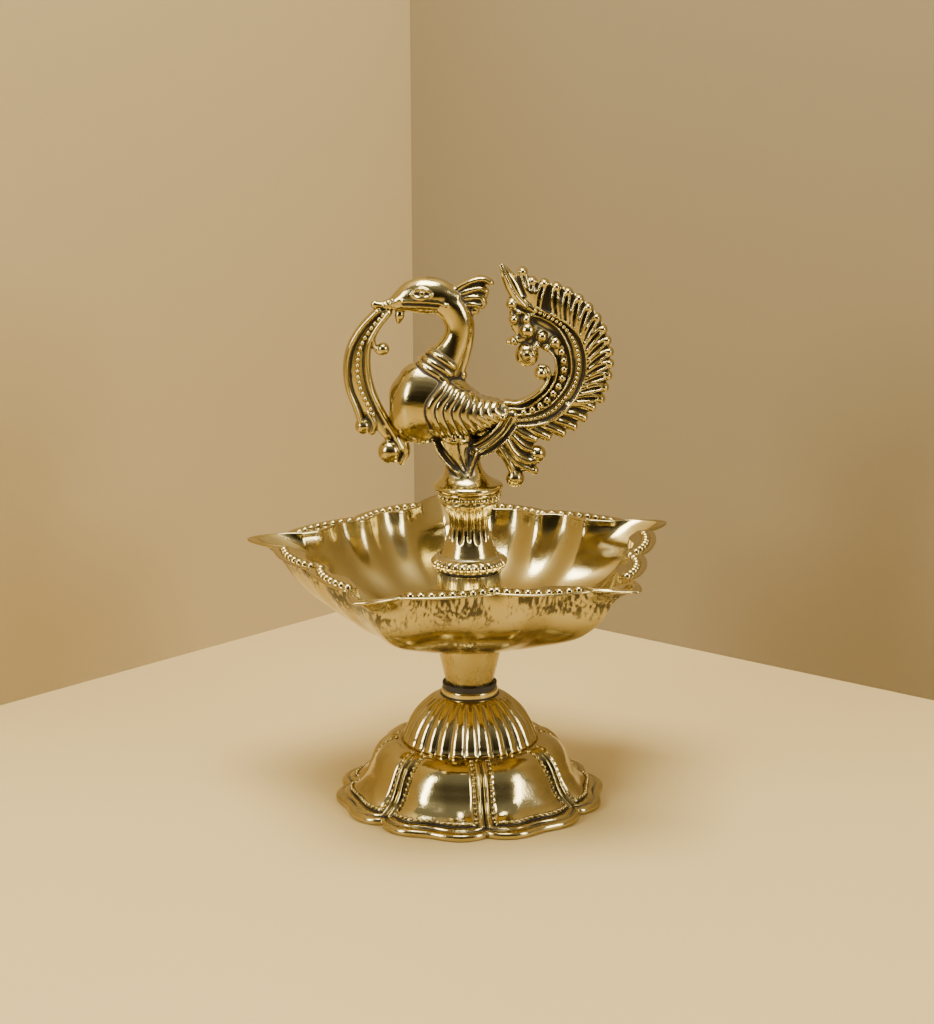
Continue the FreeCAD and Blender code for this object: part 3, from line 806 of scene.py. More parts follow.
def wall_radius(levels, height):
    """Radius of one face of the bowl's wall in every direction."""
    side, square, lobe, spout = level(levels, height)
    near_side = np.sin(np.pi * np.minimum(FROM_SIDE, LOBE_END) / LOBE_END) ** 2
    valley = np.sin(np.pi / 2 * np.clip((FROM_SIDE - LOBE_END) / (SPOUT_HALF - LOBE_END), 0, 1)) ** 1.4
    channel = np.clip(1 - ((SPOUT_HALF - FROM_SIDE) / 8) ** 6, 0, 1)
    top = rise(height, 76.0, 83.0)
    reach = spout - side / math.cos(math.radians(square * SPOUT_HALF))
    wide = min(reach, 6.0)
    spout_part = valley * (reach * (1 - top) + wide * top * 0.55)
    spout_part = spout_part + channel * top * (reach - wide * 0.55)
    return side / np.cos(np.radians(square * FROM_SIDE)) + lobe * near_side + spout_part


def flange_radius():
    """Outer edge of the flat rim in every direction, from its outline round one half side."""
    along_side = np.linspace(0, 28, 57)
    out = 55.2 + 3.1 * np.clip(np.sin(np.pi * along_side / 28), 0, 1) ** 0.6
    side_radius = out / np.cos(np.radians(along_side))
    along_spout = SPOUT_REACH - 10.6 * np.linspace(1, 0, 40) ** 2
    width = 2.1 * (SPOUT_REACH - along_spout) ** 0.6
    spout_direction = SPOUT_HALF - np.degrees(np.arctan2(width, along_spout))
    directions = np.concatenate([along_side, spout_direction[1:]])
    radii = np.concatenate([side_radius, np.hypot(along_spout, width)[1:]])
    return np.interp(FROM_SIDE, directions, radii)


def bowl_ring(radius, height):
    """One ring of the bowl from its radius and height in every direction."""
    radius = radius + 0 * DIRECTIONS
    return np.stack([radius * np.cos(DIRECTIONS), radius * np.sin(DIRECTIONS),
                     height + 0 * DIRECTIONS], axis=1)


# %% [markdown]
# The rings run from the seat on the stem, out and up the underside, round the flat rim, down the
# inside to the boss, and into its threaded hole. Together they are one closed skin, like the metal.

# %% Bowl skin
RIM_WAVE = 0.22


def rim_sway(angle):
    """How far the hand-finished rim rises or falls in a direction."""
    return RIM_WAVE * (np.sin(3 * angle + 0.7) + 0.6 * np.sin(7 * angle))


def bowl_rings():
    """All rings of the bowl, from the seat on the stem round to the bottom of the threaded hole."""
    flange = flange_radius()
    inner, outer = wall_radius(INSIDE_LEVELS, 83.6), wall_radius(OUTSIDE_LEVELS, 82.4)
    inner = np.minimum(inner, flange - 1.3)
    outer = np.minimum(outer, flange - 0.9)
    sway = rim_sway(DIRECTIONS)
    rings = [bowl_ring(4.4, BOWL_BASE), bowl_ring(7.0, BOWL_BASE)]
    share = np.linspace(0, 1, 44) ** 1.25
    rings += [bowl_ring(wall_radius(OUTSIDE_LEVELS, z), z) for z in BOWL_BASE + share * (81.9 - BOWL_BASE)]
    rings += [bowl_ring(outer, 82.4 + sway * 0.6), bowl_ring(outer + 0.35 * (flange - outer), 82.65 + sway)]
    rings += [bowl_ring(flange - inset, z + sway) for inset, z in
              ((0.45, 82.72), (0.12, 82.85), (0.0, 83.12), (0.1, 83.38), (0.4, 83.52), (0.9, 83.5))]
    rings += [bowl_ring(inner + part * (flange - 0.9 - inner), z + sway) for part, z in
              ((0.85, 83.34), (0.6, 83.3), (0.3, 83.38), (0.1, 83.6), (0.0, 83.62))]
    rings += [bowl_ring(np.minimum(wall_radius(INSIDE_LEVELS, z), inner - 0.12), z + sway * (z - 60) / 24)
              for z in np.linspace(83.4, 55.5, 64)]
    rings += [bowl_ring(BOSS_RADIUS + 0.9, 55.3), bowl_ring(BOSS_RADIUS + 0.2, 55.7)]
    rings += [bowl_ring(BOSS_RADIUS, z) for z in np.linspace(56.5, BOSS_TOP - 0.5, 12)]
    rings += [bowl_ring(BOSS_RADIUS - 0.15, BOSS_TOP - 0.15), bowl_ring(BOSS_RADIUS - 0.5, BOSS_TOP)]
    rings += [bowl_ring(4.5, BOSS_TOP), bowl_ring(4.1, BOSS_TOP - 0.5), bowl_ring(4.1, 63.0),
              bowl_ring(2.0, 62.6)]
    return np.array(rings)


bowl = mesh_object("spouted_bowl", ring_skin(bowl_rings()))
mark_cavities(bowl, 16)
mark_outside(bowl)
dress(bowl, bowl_brass, "bowl", "cast_brass", "five_spout_bowl")

# %% [markdown]
# The flat rim carries beads along every lobe. They stop short of the spouts.

# %% Rim beads
RIM_BEAD = 1.5
RIM_BEAD_HEIGHT = 83.3


def rim_bead_line(middle, side):
    """A line of bead places along one lobe of the rim, from the crease towards the spout."""
    from_side = np.linspace(0.9, 25.5, 40)
    out = 50.9 + 4.1 * np.sin(np.pi * from_side / 30) ** 0.65
    across = out * np.tan(np.radians(from_side)) * side
    turn = math.radians(middle)
    x = out * math.cos(turn) - across * math.sin(turn)
    y = out * math.sin(turn) + across * math.cos(turn)
    angle = np.arctan2(y, x)
    return np.stack([x, y, RIM_BEAD_HEIGHT + rim_sway(angle)], axis=1), False


rim_lines = [rim_bead_line(SPOUT_TURN + SPOUT_HALF * (2 * k + 1), side)
             for k in range(SPOUTS) for side in (-1, 1)]
rim_beads = bead_row("rim_beads", rim_lines, RIM_BEAD, 3.0, 0.75)
dress(rim_beads, cast_brass, "bowl", "cast_brass", "five_spout_bowl")

# %% [markdown]
# ## The pillar
#
# The pillar is a spool: a collar of gadroons on the boss, a waist, and a smaller beaded collar under
# the swan. Its lowest third is smooth and mirror-like, and it is fluted above. The same wave tree
# presses the flutes and, with a higher count, the gadroons.

# %% Pillar
PILLAR_LINE = [(7.5, 0.0), (9.9, 0.05), (11.3, 0.5), (12.2, 1.5), (12.25, 2.5), (11.5, 3.5), (10.1, 4.1),
               (9.4, 4.6), (8.7, 6.0), (7.7, 8.4), (6.9, 11.0), (6.35, 14.0), (6.5, 16.6),
               (7.2, 18.8), (8.3, 20.6), (9.1, 21.5), (9.4, 22.1), (9.0, 22.6), (9.7, 23.2),
               (9.5, 24.0), (9.9, 24.5), (10.3, 24.9), (10.3, 25.4), (9.7, 25.8)]

pillar_profile = smooth_line([(r, z + PILLAR_BASE) for r, z in PILLAR_LINE], 130)
pillar = mesh_object("fluted_pillar_cast", ring_skin(turned_rings(pillar_profile, 480)))
press(pillar, 16, 0.75, PILLAR_BASE + 8.5, PILLAR_BASE + 21.8, 2.2, sharpness=0.8)
press(pillar, 30, 0.7, PILLAR_BASE + 0.3, PILLAR_BASE + 3.9, 0.5, sharpness=0.8)
mark_cavities(pillar, 10)
dress(pillar, cast_brass, "pillar", "cast_brass", "fluted_pillar")


collar_line = turned_rings([(9.35, PILLAR_BASE + 23.6)], 120)[0]
collar_beads = bead_row("collar_beads", [(collar_line, True)], 1.0, 2.25)
dress(collar_beads, cast_brass, "pillar", "cast_brass", "fluted_pillar")

# %% [markdown]
# ## Studs, nut, stem and rings
#
# The hidden hardware shows when the lamp is unscrewed. The studs get a real helical thread from the
# wave tree, with one lobe and a lead of one pitch. The stem, the nut and the rings already have the
# right shape in the frame, so they only take a finish.

# %% Hardware
THREAD_PITCH = 1.5
THREAD_DEPTH = 0.7


def threaded_stud(name, node, body):
    """A rod as long and as thick as a stud of the frame, with a thread cut all along it."""
    low, high = heights(node)
    radius = (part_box(node)[1][0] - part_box(node)[0][0]) / 2 / MM
    profile = [(radius - 0.9, low), (radius - 0.05, low + 0.9)]
    profile += [(radius - 0.05, z) for z in np.arange(low + 1.0, high - 0.95, 0.125)]
    profile += [(radius - 0.05, high - 0.9), (radius - 0.9, high)]
    piece = mesh_object(name, ring_skin(turned_rings(profile, 40)))
    press(piece, 1, THREAD_DEPTH, low, high, 0.4, lead=math.tau / THREAD_PITCH)
    mark_cavities(piece, 6)
    dress(piece, turned_brass, body, "turned_brass", node)


threaded_stud("foot_stud_thread", "foot_stud", "foot")
threaded_stud("pillar_stud_thread", "pillar_stud", "pillar")

finishes = {"bowl_stem": turned_brass, "foot_nut": turned_brass, "foot_nut_washer": turned_brass,
            "neck_washer": black_rubber, "pillar_washer": black_rubber}
for node, material in finishes.items():
    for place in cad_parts[node].material_slots:
        place.material = material

# %% [markdown]
# ## The camera, the floor and the light
#
# A long lens looks slightly down on the lamp. The floor and the two walls are plain and pale; the
# right wall's paint is darker than the left's, as painted shade. Big soft panels stand in for a bright
# room: polished brass shows what it reflects, so the room also needs a darker side, behind the camera, to
# draw the shapes.

# %% Camera
LENS = 85.98
CAMERA_PLACE = (0.00008, -0.7556, 0.2818)
CAMERA_DOWN = 0.2424
CAMERA_LEAN = 0.0038

camera_data = bpy.data.cameras.new("camera")
camera_data.lens = LENS
camera_data.sensor_width = 36.0
camera_data.clip_start = 0.05
camera = new_object("camera", camera_data)
camera.location = CAMERA_PLACE
camera.rotation_euler = (math.pi / 2 - CAMERA_DOWN, CAMERA_LEAN, 0.0)
bpy.context.scene.camera = camera
print(f"camera looks down {math.degrees(CAMERA_DOWN):.1f} degrees through a {LENS:.0f} mm lens")

# %% Floor and walls
WALL_HEIGHT = 0.9
CORNER = (-0.023, 0.246)
LEFT_END = (-0.43, -0.175)
RIGHT_END = (0.50, -0.165)


def plain_surface(name, colour, rough):
    """A matt painted surface with a faint unevenness. Its back is clear, so a wall never stands
    between the lamp and someone who looks from behind it."""
    material, bench, place = new_material(name)
    patch = noise(bench, place, 6, 3)
    shade = coloured_mix(bench, patch * 0.6, colour, tuple(c * 0.93 for c in colour[:3]) + (1,))
    paint = bench.add("ShaderNodeBsdfPrincipled", {}, {"Base Color": shade, "Roughness": rough})
    back = bench.add("ShaderNodeNewGeometry", {}, (), "Backfacing")
    clear = bench.add("ShaderNodeBsdfTransparent")
    shader = bench.add("ShaderNodeMixShader", {}, [back, paint, clear])
    finish_material(bench, shader)
    return material


def panel(name, corners, material):
    """A flat four-cornered panel of the set, corners in metres."""
    mesh = bpy.data.meshes.new(name)
    mesh.from_pydata(corners, [], [(0, 1, 2, 3)])
    mesh.materials.append(material)
    new_object(name, mesh)


floor_paint = plain_surface("floor_paint", (0.60, 0.44, 0.165, 1), 0.5)
left_paint = plain_surface("left_paint", (0.46, 0.345, 0.15, 1), 0.7)
# The right wall has the left wall's paint darkened: painted shade on the side of the corner that the light
# reaches less.
right_wall_shaded_paint = plain_surface("right_wall_shaded_paint", (0.24, 0.178, 0.078, 1), 0.7)
panel("floor", [(-1.5, -1.6, 0), (1.5, -1.6, 0), (1.5, 1.2, 0), (-1.5, 1.2, 0)], floor_paint)


def wall(name, start, end, material):
    """An upright panel between two places on the floor."""
    low = [(*start, 0), (*end, 0)]
    high = [(*end, WALL_HEIGHT), (*start, WALL_HEIGHT)]
    panel(name, low + high, material)


wall("left_wall", LEFT_END, CORNER, left_paint)
wall("right_wall", CORNER, RIGHT_END, right_wall_shaded_paint)
print("the walls meet at", CORNER)

# %% Room light


def softbox(name, place, aim, size, power, tint=(1.0, 0.97, 0.92)):
    """A rectangular soft light, aimed at a point."""
    data = bpy.data.lights.new(name, "AREA")
    data.shape = "RECTANGLE"
    data.size, data.size_y = size
    data.energy = power
    data.color = tint
    light = new_object(name, data)
    light.location = place
    light.rotation_euler = (Vector(aim) - Vector(place)).to_track_quat("-Z", "Y").to_euler()
    print(f"{name}: {power} W")


LAMP_MIDDLE = (0, 0, 0.09)
softbox("ceiling_light", (-0.05, -0.15, 0.95), LAMP_MIDDLE, (0.5, 0.4), 16.5)
softbox("left_window", (-0.75, -0.55, 0.5), LAMP_MIDDLE, (0.2, 0.45), 7.5)
softbox("right_window", (0.8, -0.5, 0.45), LAMP_MIDDLE, (0.2, 0.5), 6.0, (1.0, 0.95, 0.88))

world = bpy.data.worlds.new("room")
bpy.context.scene.world = world
world.use_nodes = True
world.node_tree.nodes.clear()
room = Bench(world.node_tree)
direction = room.add("ShaderNodeTexCoord", {}, (), "Generated")
across = room.add("ShaderNodeSeparateXYZ", {}, {"Vector": direction}, "X")
depth, up = room.output(across, "Y"), room.output(across, "Z")
overhead = up.between(0.1, 0.9)
behind = (depth * -1).between(0.2, 0.95) * (1 - overhead)
wall_tone = coloured_mix(room, overhead, (0.40, 0.30, 0.17, 1), (0.95, 0.90, 0.82, 1))
tone = coloured_mix(room, behind, wall_tone, (0.06, 0.05, 0.035, 1))
background = room.add("ShaderNodeBackground", {}, {"Color": tone, "Strength": 0.38})
sky = world.node_tree.nodes.new("ShaderNodeOutputWorld")
world.node_tree.links.new(background.socket, sky.inputs["Surface"])

# %% [markdown]
# ## The swan, limb by limb
#
# The swan is one casting with soft joins, so it is not built as separate parts that merely touch.
# Limbs, balls and ribs are laid over each other as closed skins, and a voxel remesh fuses them, the
# way wax is joined before casting. Fine lines are then raised or sunk on the fused skin. Places are
# (forward-to-back, height) above the swan's seat, and a limb's points carry its half width in the
# swan's own plane and its half depth from side to side.

# %% Limbs and balls
SWAN_SCALE = (SWAN_TOP - SWAN_SEAT) / SWAN_DRAWN
LIMB_END = [math.radians(angle) for angle in (78, 55, 30)]


def limb(line, sides=20, pitch=0.7, cap=1.0):
    """An oval bar through (x, height, half width, half depth) points. cap is how far its rounded
    ends stand out, as a share of the half width."""
    rough = np.array(line, dtype=float)
    length = np.linalg.norm(np.diff(rough[:, :2], axis=0), axis=1).sum()
    path = smooth_line(line, max(6, int(length / pitch)))
    tangent = np.gradient(path[:, :2], axis=0)
    tangent /= np.linalg.norm(tangent, axis=1)[:, None]
    stations = [(path[0, :2] - tangent[0] * path[0, 2] * cap * math.sin(a), tangent[0],
                 path[0, 2:] * math.cos(a)) for a in LIMB_END]
    stations += [(path[k, :2], tangent[k], path[k, 2:]) for k in range(len(path))]
    stations += [(path[-1, :2] + tangent[-1] * path[-1, 2] * cap * math.sin(a), tangent[-1],
                  path[-1, 2:] * math.cos(a)) for a in reversed(LIMB_END)]
    turns = np.linspace(0, math.tau, sides, endpoint=False)
    rings = []
    for centre, along, (width, depth) in stations:
        out = width * np.cos(turns)
        rings.append(np.stack([centre[0] - along[1] * out, -depth * np.sin(turns),
                               centre[1] + along[0] * out], axis=1))
    return ring_skin(np.array(rings))


def even_limb(line, width, depth, tip=1.0):
    """A limb of even section that narrows to a share of it at its far end."""
    count = len(line) - 1
    return limb([(x, z, width * (1 + (tip - 1) * k / count), depth * (1 + (tip - 1) * 0.5 * k / count))
                 for k, (x, z) in enumerate(line)])


def ball(x, z, radius, depth=None):
    """A round or flattened ball."""
    turns = np.linspace(0, math.tau, 24, endpoint=False)
    depth = depth or radius
    rings = [np.stack([x + radius * math.sin(a) * np.cos(turns), depth * math.sin(a) * np.sin(turns),
                       z - radius * math.cos(a) + 0 * turns], axis=1)
             for a in np.linspace(0.12, math.pi - 0.12, 12)]
    return ring_skin(np.array(rings))


def stack(levels):
    """Oval rings one above the other: (height, middle, half length, half depth)."""
    turns = np.linspace(0, math.tau, 64, endpoint=False)
    rings = [np.stack([x + length * np.cos(turns), depth * np.sin(turns), z + 0 * turns], axis=1)
             for z, x, length, depth in smooth_line(levels, 60)]
    return ring_skin(np.array(rings))


print(f"the swan is drawn at {SWAN_SCALE:.4f} of its size")

# %% [markdown]
# A finer voxel keeps thinner lines but makes more faces. The sizes used below keep every casting
# under 200,000 triangles, and two passes of smoothing take the steps off.

# %% Casting limbs together
SMOOTHING = 2


def on_seat(points):
    """Points drawn above the swan's seat, at their real size and place in millimetres."""
    return points * SWAN_SCALE + np.array([0, 0, SWAN_SEAT])


def set_positions(mesh, places):
    mesh.vertices.foreach_set("co", places.astype(np.float32).ravel())
    mesh.update()


def cast_together(name, skins, voxel):
    """Fuse overlapping skins into one, smooth the steps away, and set the swan on its seat."""
    points, faces = joined(skins)
    piece = mesh_object(name, (on_seat(points), faces))
    fuse = piece.modifiers.new("fuse", "REMESH")
    fuse.mode = "VOXEL"
    fuse.voxel_size = voxel * MM
    evaluated = piece.evaluated_get(bpy.context.evaluated_depsgraph_get())
    piece.data = bpy.data.meshes.new_from_object(evaluated)
    piece.modifiers.clear()
    piece.data.shade_smooth()
    set_positions(piece.data, smoothed(piece.data, positions(piece.data), SMOOTHING))
    return piece


print("castings are smoothed", SMOOTHING, "times")

# %% [markdown]
# Fine lines are too thin for the voxels, so they are raised or sunk afterwards, by how near each
# point of the skin lies to a line drawn on the swan's side. Skin that faces along the swan's own
# plane is left alone, which keeps the outline clean.

# %% Raised and sunk lines


def from_line(x, z, line):
    """Distance of points from a line through places, in the swan's own plane."""
    nearest = np.full(len(x), 1e9)
    path = smooth_line(line, 6 * len(line)) if len(line) > 2 else np.array(line, dtype=float)
    for (ax, az), (bx, bz) in zip(path[:-1], path[1:]):
        dx, dz = bx - ax, bz - az
        share = np.clip(((x - ax) * dx + (z - az) * dz) / (dx * dx + dz * dz), 0, 1)
        nearest = np.minimum(nearest, np.hypot(x - ax - share * dx, z - az - share * dz))
    return nearest


def closeness(x, z, line, half_width):
    """1 on a line, 0 from half_width away, for points in the swan's own plane."""
    return np.clip(1 - (from_line(x, z, line) / half_width) ** 2, 0, 1)


def carve(piece, ridges, grooves):
    """Raise rounded ridges and sink grooves: each is (height, half width, line)."""
    mesh = piece.data
    places, facing = positions(mesh), normals(mesh)
    drawn = (places / MM - np.array([0, 0, SWAN_SEAT])) / SWAN_SCALE
    x, z = drawn[:, 0], drawn[:, 2]
    raised, sunk = np.zeros(len(x)), np.zeros(len(x))
    for height, half_width, line in ridges:
        raised = np.maximum(raised, height * np.sqrt(closeness(x, z, line, half_width)))
    for depth, half_width, line in grooves:
        sunk = np.maximum(sunk, depth * closeness(x, z, line, half_width))
    sideways = rise(np.abs(facing[:, 1]), 0.12, 0.5)
    move = (raised - sunk) * sideways * MM * SWAN_SCALE
    set_positions(mesh, places + facing * move[:, None])
    print(f"{piece.name}: {len(ridges)} ridges, {len(grooves)} grooves")


# %% [markdown]
# ### Body, neck and head
#
# A full breast runs back into a slim rump. The neck bends up and forward into a duck-like head with
# a short bill. A crest of four ribs on a thin web stands at the back of the head, a mane runs down
# the neck, and the body stands on a flared plinth, with a pointed thigh plate on each side.

# %% Body limbs
BODY = [(-25.1, 29.6, 2.2, 1.8), (-24.8, 29.6, 3.9, 3.1), (-24.1, 29.5, 6.2, 4.8),
        (-22.4, 29.2, 9.4, 6.8), (-19.4, 28.8, 12.1, 8.7), (-15.5, 28.3, 13.4, 9.4),
        (-11.0, 27.6, 13.0, 9.5), (-6.0, 26.3, 10.8, 9.0), (-1.0, 25.0, 8.5, 7.8),
        (4.0, 24.6, 5.6, 6.2), (8.5, 25.2, 3.9, 4.6), (12.6, 26.3, 2.0, 3.0)]
NECK = [(-10.5, 37.0, 7.6, 6.6), (-7.4, 41.5, 6.4, 5.4), (-4.9, 45.6, 5.0, 4.4), (-3.3, 49.5, 4.5, 4.0),
        (-3.0, 53.5, 4.6, 4.0), (-4.6, 57.6, 4.9, 4.2), (-7.6, 60.6, 5.0, 4.5)]
HEAD = [(-5.6, 61.0, 4.4, 4.0), (-9.5, 62.0, 5.6, 4.8), (-14.0, 62.2, 5.9, 4.9), (-18.2, 61.6, 5.0, 4.2),
        (-21.6, 60.4, 3.3, 3.2), (-23.6, 59.6, 2.2, 2.5)]
BILL = [(-21.5, 60.2, 2.4, 2.6), (-24.0, 59.5, 1.9, 2.2), (-26.6, 59.2, 1.35, 1.7), (-28.6, 59.3, 1.1, 1.3)]
MANE = [(-5.0, 61.5), (-1.2, 58.0), (0.5, 54.5), (0.75, 51.0), (0.3, 47.0), (-0.8, 42.5), (-2.2, 38.2)]
CREST = [[(-6.4, 62.6), (-2.6, 64.9), (1.0, 66.7), (4.6, 67.4), (7.2, 66.2)],
         [(-5.2, 61.9), (-1.4, 63.2), (1.8, 64.2), (4.2, 64.4), (5.6, 63.6)],
         [(-4.8, 61.0), (-1.0, 61.4), (2.2, 61.8), (4.4, 61.2), (5.0, 59.8)],
         [(-4.4, 60.0), (-1.6, 59.7), (0.8, 59.5), (3.0, 59.2), (4.2, 58.7)]]
CREST_PLATE = [(-4.6, 62.0, 1.8, 1.4), (-1.0, 62.8, 2.8, 1.3), (1.8, 63.2, 3.6, 1.2), (3.2, 63.0, 3.3, 1.0)]
PLINTH = [(-0.2, -0.2, 10.4, 10.4), (0.4, -0.2, 11.0, 11.0), (1.2, -0.2, 11.25, 11.25),
          (2.0, -0.3, 10.6, 10.6), (2.7, -0.6, 9.3, 9.3), (3.9, -1.0, 7.8, 7.8), (5.6, -1.4, 6.5, 6.6),
          (7.7, -1.8, 5.9, 6.0), (10.0, -2.0, 5.5, 5.4), (14.0, -2.6, 5.4, 4.9), (20.0, -4.0, 5.4, 4.2)]
THIGH_EDGES = [[(-11.2, 16.8), (-9.6, 13.0), (-7.0, 9.6), (-3.8, 6.6), (-0.7, 4.2)],
               [(2.6, 13.4), (1.4, 10.4), (0.4, 7.2), (-0.7, 4.2)]]
THIGH_PLATE = [(-4.6, 16.6, 6.4, 6.6), (-4.0, 12.6, 5.3, 6.2), (-2.6, 8.6, 3.1, 6.0), (-1.0, 5.0, 1.0, 6.2)]
BAND = [(1.6, 12.6, 2.2, 5.6), (6.2, 15.2, 2.4, 5.0), (10.4, 19.2, 2.5, 4.0), (13.8, 24.0, 2.4, 3.0)]
BAND_EDGES = [[(1.4, 15.2), (5.6, 17.6), (9.2, 21.0), (11.9, 26.0)],
              [(3.4, 11.2), (7.6, 13.0), (11.6, 16.2), (15.2, 21.0)]]

body_skins = [limb(BODY, 48, pitch=0.35, cap=0.05), ball(4.2, 19.8, 3.2, 3.6), limb(NECK, 36),
              limb(HEAD, 36), limb(BILL, 24), ball(-29.3, 59.4, 1.35),
              limb([(-21.4, 57.4, 1.3, 1.3), (-21.6, 55.6, 1.6, 1.6), (-21.9, 53.9, 0.8, 0.8)]),
              even_limb(MANE, 1.25, 1.9), ball(-2.2, 36.9, 1.9), ball(-6.7, 59.8, 1.2, 5.0),
              ball(1.9, 57.4, 1.6), stack(PLINTH), limb(THIGH_PLATE, 32), ball(-0.7, 4.3, 1.2, 6.9),
              limb(BAND, 28), stack([(-6.0, 0, 2.9, 2.9), (-3.0, 0, 2.95, 2.95), (0.5, 0, 3.0, 3.0)])]
body_skins += [even_limb(line, 1.25, 2.2, 0.85) for line in CREST] + [limb(CREST_PLATE, 24)]
body_skins += [even_limb(line, 0.95, 7.0) for line in THIGH_EDGES]
body_skins += [even_limb(line, 0.8, 5.4, 0.7) for line in BAND_EDGES]
swan_body = cast_together("swan_body", body_skins, 0.33)

# %% [markdown]
# The wing is a fan of long curved feathers. Each feather is a ridge on the body's side, and where two
# ridges meet, the lower of the two gives way, which leaves a sharp valley. The folds at the foot of
# the neck, the brow, the eye and the bill's grooves are raised and sunk in the same way.

# %% Fine lines on the body
FEATHER_TOPS = [(-7.2, 35.0), (-5.4, 33.6), (-3.6, 32.4), (-1.4, 31.5), (0.6, 31.0), (2.6, 30.5),
                (4.8, 29.9), (6.9, 29.3), (9.0, 28.8)]
FEATHER_BOWS = [(-12.0, 27.6), (-9.3, 27.2), (-6.7, 26.6), (-4.1, 26.0), (-1.6, 25.6), (0.8, 25.4),
                (3.2, 25.4), (5.6, 25.6), (8.0, 26.0)]
FEATHER_TIPS = [(-8.6, 19.2), (-6.0, 18.2), (-3.2, 18.0), (-0.6, 18.4), (2.0, 19.2), (4.4, 20.2),
                (6.6, 21.2), (8.6, 22.4), (10.4, 24.0)]
WING_HEM = [(-11.6, 20.6), (-8.0, 17.6), (-4.0, 16.6), (0.0, 17.0), (4.4, 18.6), (8.4, 20.8), (11.8, 24.6)]
NECK_FOLDS = [[(-15.2, 41.4), (-12.6, 39.9), (-9.4, 37.8), (-7.0, 35.8)],
              [(-14.6, 43.2), (-11.8, 42.0), (-8.4, 40.0), (-5.6, 38.0)],
              [(-12.8, 45.2), (-10.4, 44.2), (-7.4, 42.4), (-4.6, 40.2)]]
EYE = [(-17.4, 63.2), (-15.8, 64.6), (-13.6, 64.7), (-11.4, 63.3), (-13.4, 62.1), (-15.8, 62.0),
       (-17.4, 63.2)]
BROW = [(-20.6, 60.8), (-17.2, 61.0), (-13.2, 60.9), (-9.2, 60.4), (-7.0, 59.7)]

ridges = [(1.0, 1.32, [top, bow, tip])
          for top, bow, tip in zip(FEATHER_TOPS, FEATHER_BOWS, FEATHER_TIPS)]
ridges += [(0.5, 0.7, WING_HEM), (0.5, 0.42, EYE), (0.45, 0.55, BROW)]
ridges += [(0.8, 0.95, line) for line in NECK_FOLDS]
ridges += [(0.65, 0.75, [(-14.5, 63.35), (-14.3, 63.35)])]
grooves = [(0.5, 0.5, [(-20.4, 59.8), (-17.2, 59.9), (-13.2, 59.8), (-9.4, 59.3)]),
           (0.35, 0.6, [(-16.6, 63.3), (-12.4, 63.3)])]
grooves += [(0.3, 0.28, [(x, 61.2), (x - 0.3, 57.8)]) for x in (-23.6, -24.7, -25.8, -26.8)]
grooves += [(0.35, 0.3, [(-23.2, 58.6), (-27.8, 58.6)]),
            (0.4, 0.4, [(-9.4, 16.0), (-5.4, 10.8), (-1.4, 6.4)]),
            (0.5, 0.5, [(-3.4, 16.0), (-2.6, 11.8), (-1.0, 7.4)]),
            (0.5, 0.55, [(2.6, 13.6), (7.0, 16.0), (10.8, 19.2), (13.4, 23.4)])]
carve(swan_body, ridges, grooves)
mark_cavities(swan_body, 16)
dress(swan_body, figure_brass, "pillar", "cast_brass", "swan")

# %% [markdown]
# ### The tail
#
# The tail is a wide curl: a thin backing, smooth ridges with bead rows between them, a cluster of
# berries inside the curl, a border of narrow leaves that roll over into small balls, and broad plain
# leaves low down. The narrow leaves follow a rule: each is two ribs that start on the outer ridge a
# little before the tip and bend outwards, so only the tips are listed.

# %% Tail limbs
TAIL_BACKING = [(11.5, 24.0, 3.6, 1.6), (17.5, 23.4, 5.0, 1.4), (24.5, 23.8, 6.4, 1.2),
                (32.2, 30.0, 8.0, 1.1), (35.9, 39.8, 8.4, 0.9), (35.0, 49.2, 8.4, 0.9),
                (29.2, 56.2, 8.0, 0.9), (21.4, 60.0, 7.0, 0.9), (15.4, 64.4, 3.8, 1.1),
                (11.2, 70.2, 1.0, 0.9)]
BERRY_BACKING = [(27.8, 45.4, 2.8, 1.4), (24.2, 48.2, 3.2, 1.4), (19.8, 50.4, 3.5, 1.4),
                 (16.4, 53.4, 3.4, 1.4), (15.0, 57.4, 2.2, 1.3), (15.6, 60.6, 1.8, 1.3)]
BERRY_STEM = [(20.4, 50.4, 2.2, 1.4), (19.4, 47.0, 2.2, 1.4), (18.6, 43.8, 2.2, 1.4)]
BERRY_LINK = [(13.6, 47.7, 1.1, 1.3), (15.8, 48.4, 1.4, 1.3), (18.4, 48.6, 1.4, 1.3)]
OUTER_RIDGE = [(14.6, 20.6), (20.9, 20.9), (26.0, 22.4), (30.4, 25.6), (33.9, 29.7), (36.0, 34.0),
               (37.1, 38.5), (36.9, 43.4), (35.2, 48.8), (31.9, 52.6), (27.2, 55.6), (21.8, 58.2),
               (17.4, 62.0)]
MIDDLE_RIDGE = [(14.4, 24.2), (20.2, 24.8), (25.8, 27.6), (29.9, 32.2), (32.1, 37.0), (32.4, 41.6),
                (31.2, 46.6), (28.2, 51.8), (23.4, 55.0), (18.0, 56.6), (13.2, 58.6)]
INNER_RIDGE = [(12.4, 26.4), (17.9, 26.4), (22.8, 29.6), (26.3, 33.4), (27.8, 38.0), (27.2, 42.4),
               (24.6, 45.4)]
SCROLL = [(11.6, 28.2), (15.8, 28.0), (20.4, 30.2), (23.7, 33.0), (25.3, 36.4), (24.7, 39.2), (22.3, 39.7)]
TIP_LEAF = [(20.6, 57.4, 1.2, 2.2), (16.4, 60.8, 2.2, 2.4), (13.8, 65.4, 2.5, 2.3), (11.8, 69.2, 1.8, 1.9),
            (10.5, 71.4, 0.9, 1.2)]
LOW_LEAVES = [[(31.2, 27.4), (35.6, 27.6), (39.4, 26.2)], [(29.2, 24.8), (33.2, 24.4), (36.8, 22.8)],
              [(26.2, 22.6), (30.0, 21.6), (33.6, 20.0)], [(22.2, 21.4), (26.2, 19.8), (30.0, 17.9)],
              [(18.0, 20.6), (21.8, 18.6), (25.4, 16.7)], [(14.4, 19.8), (17.8, 17.6), (21.0, 16.1)]]
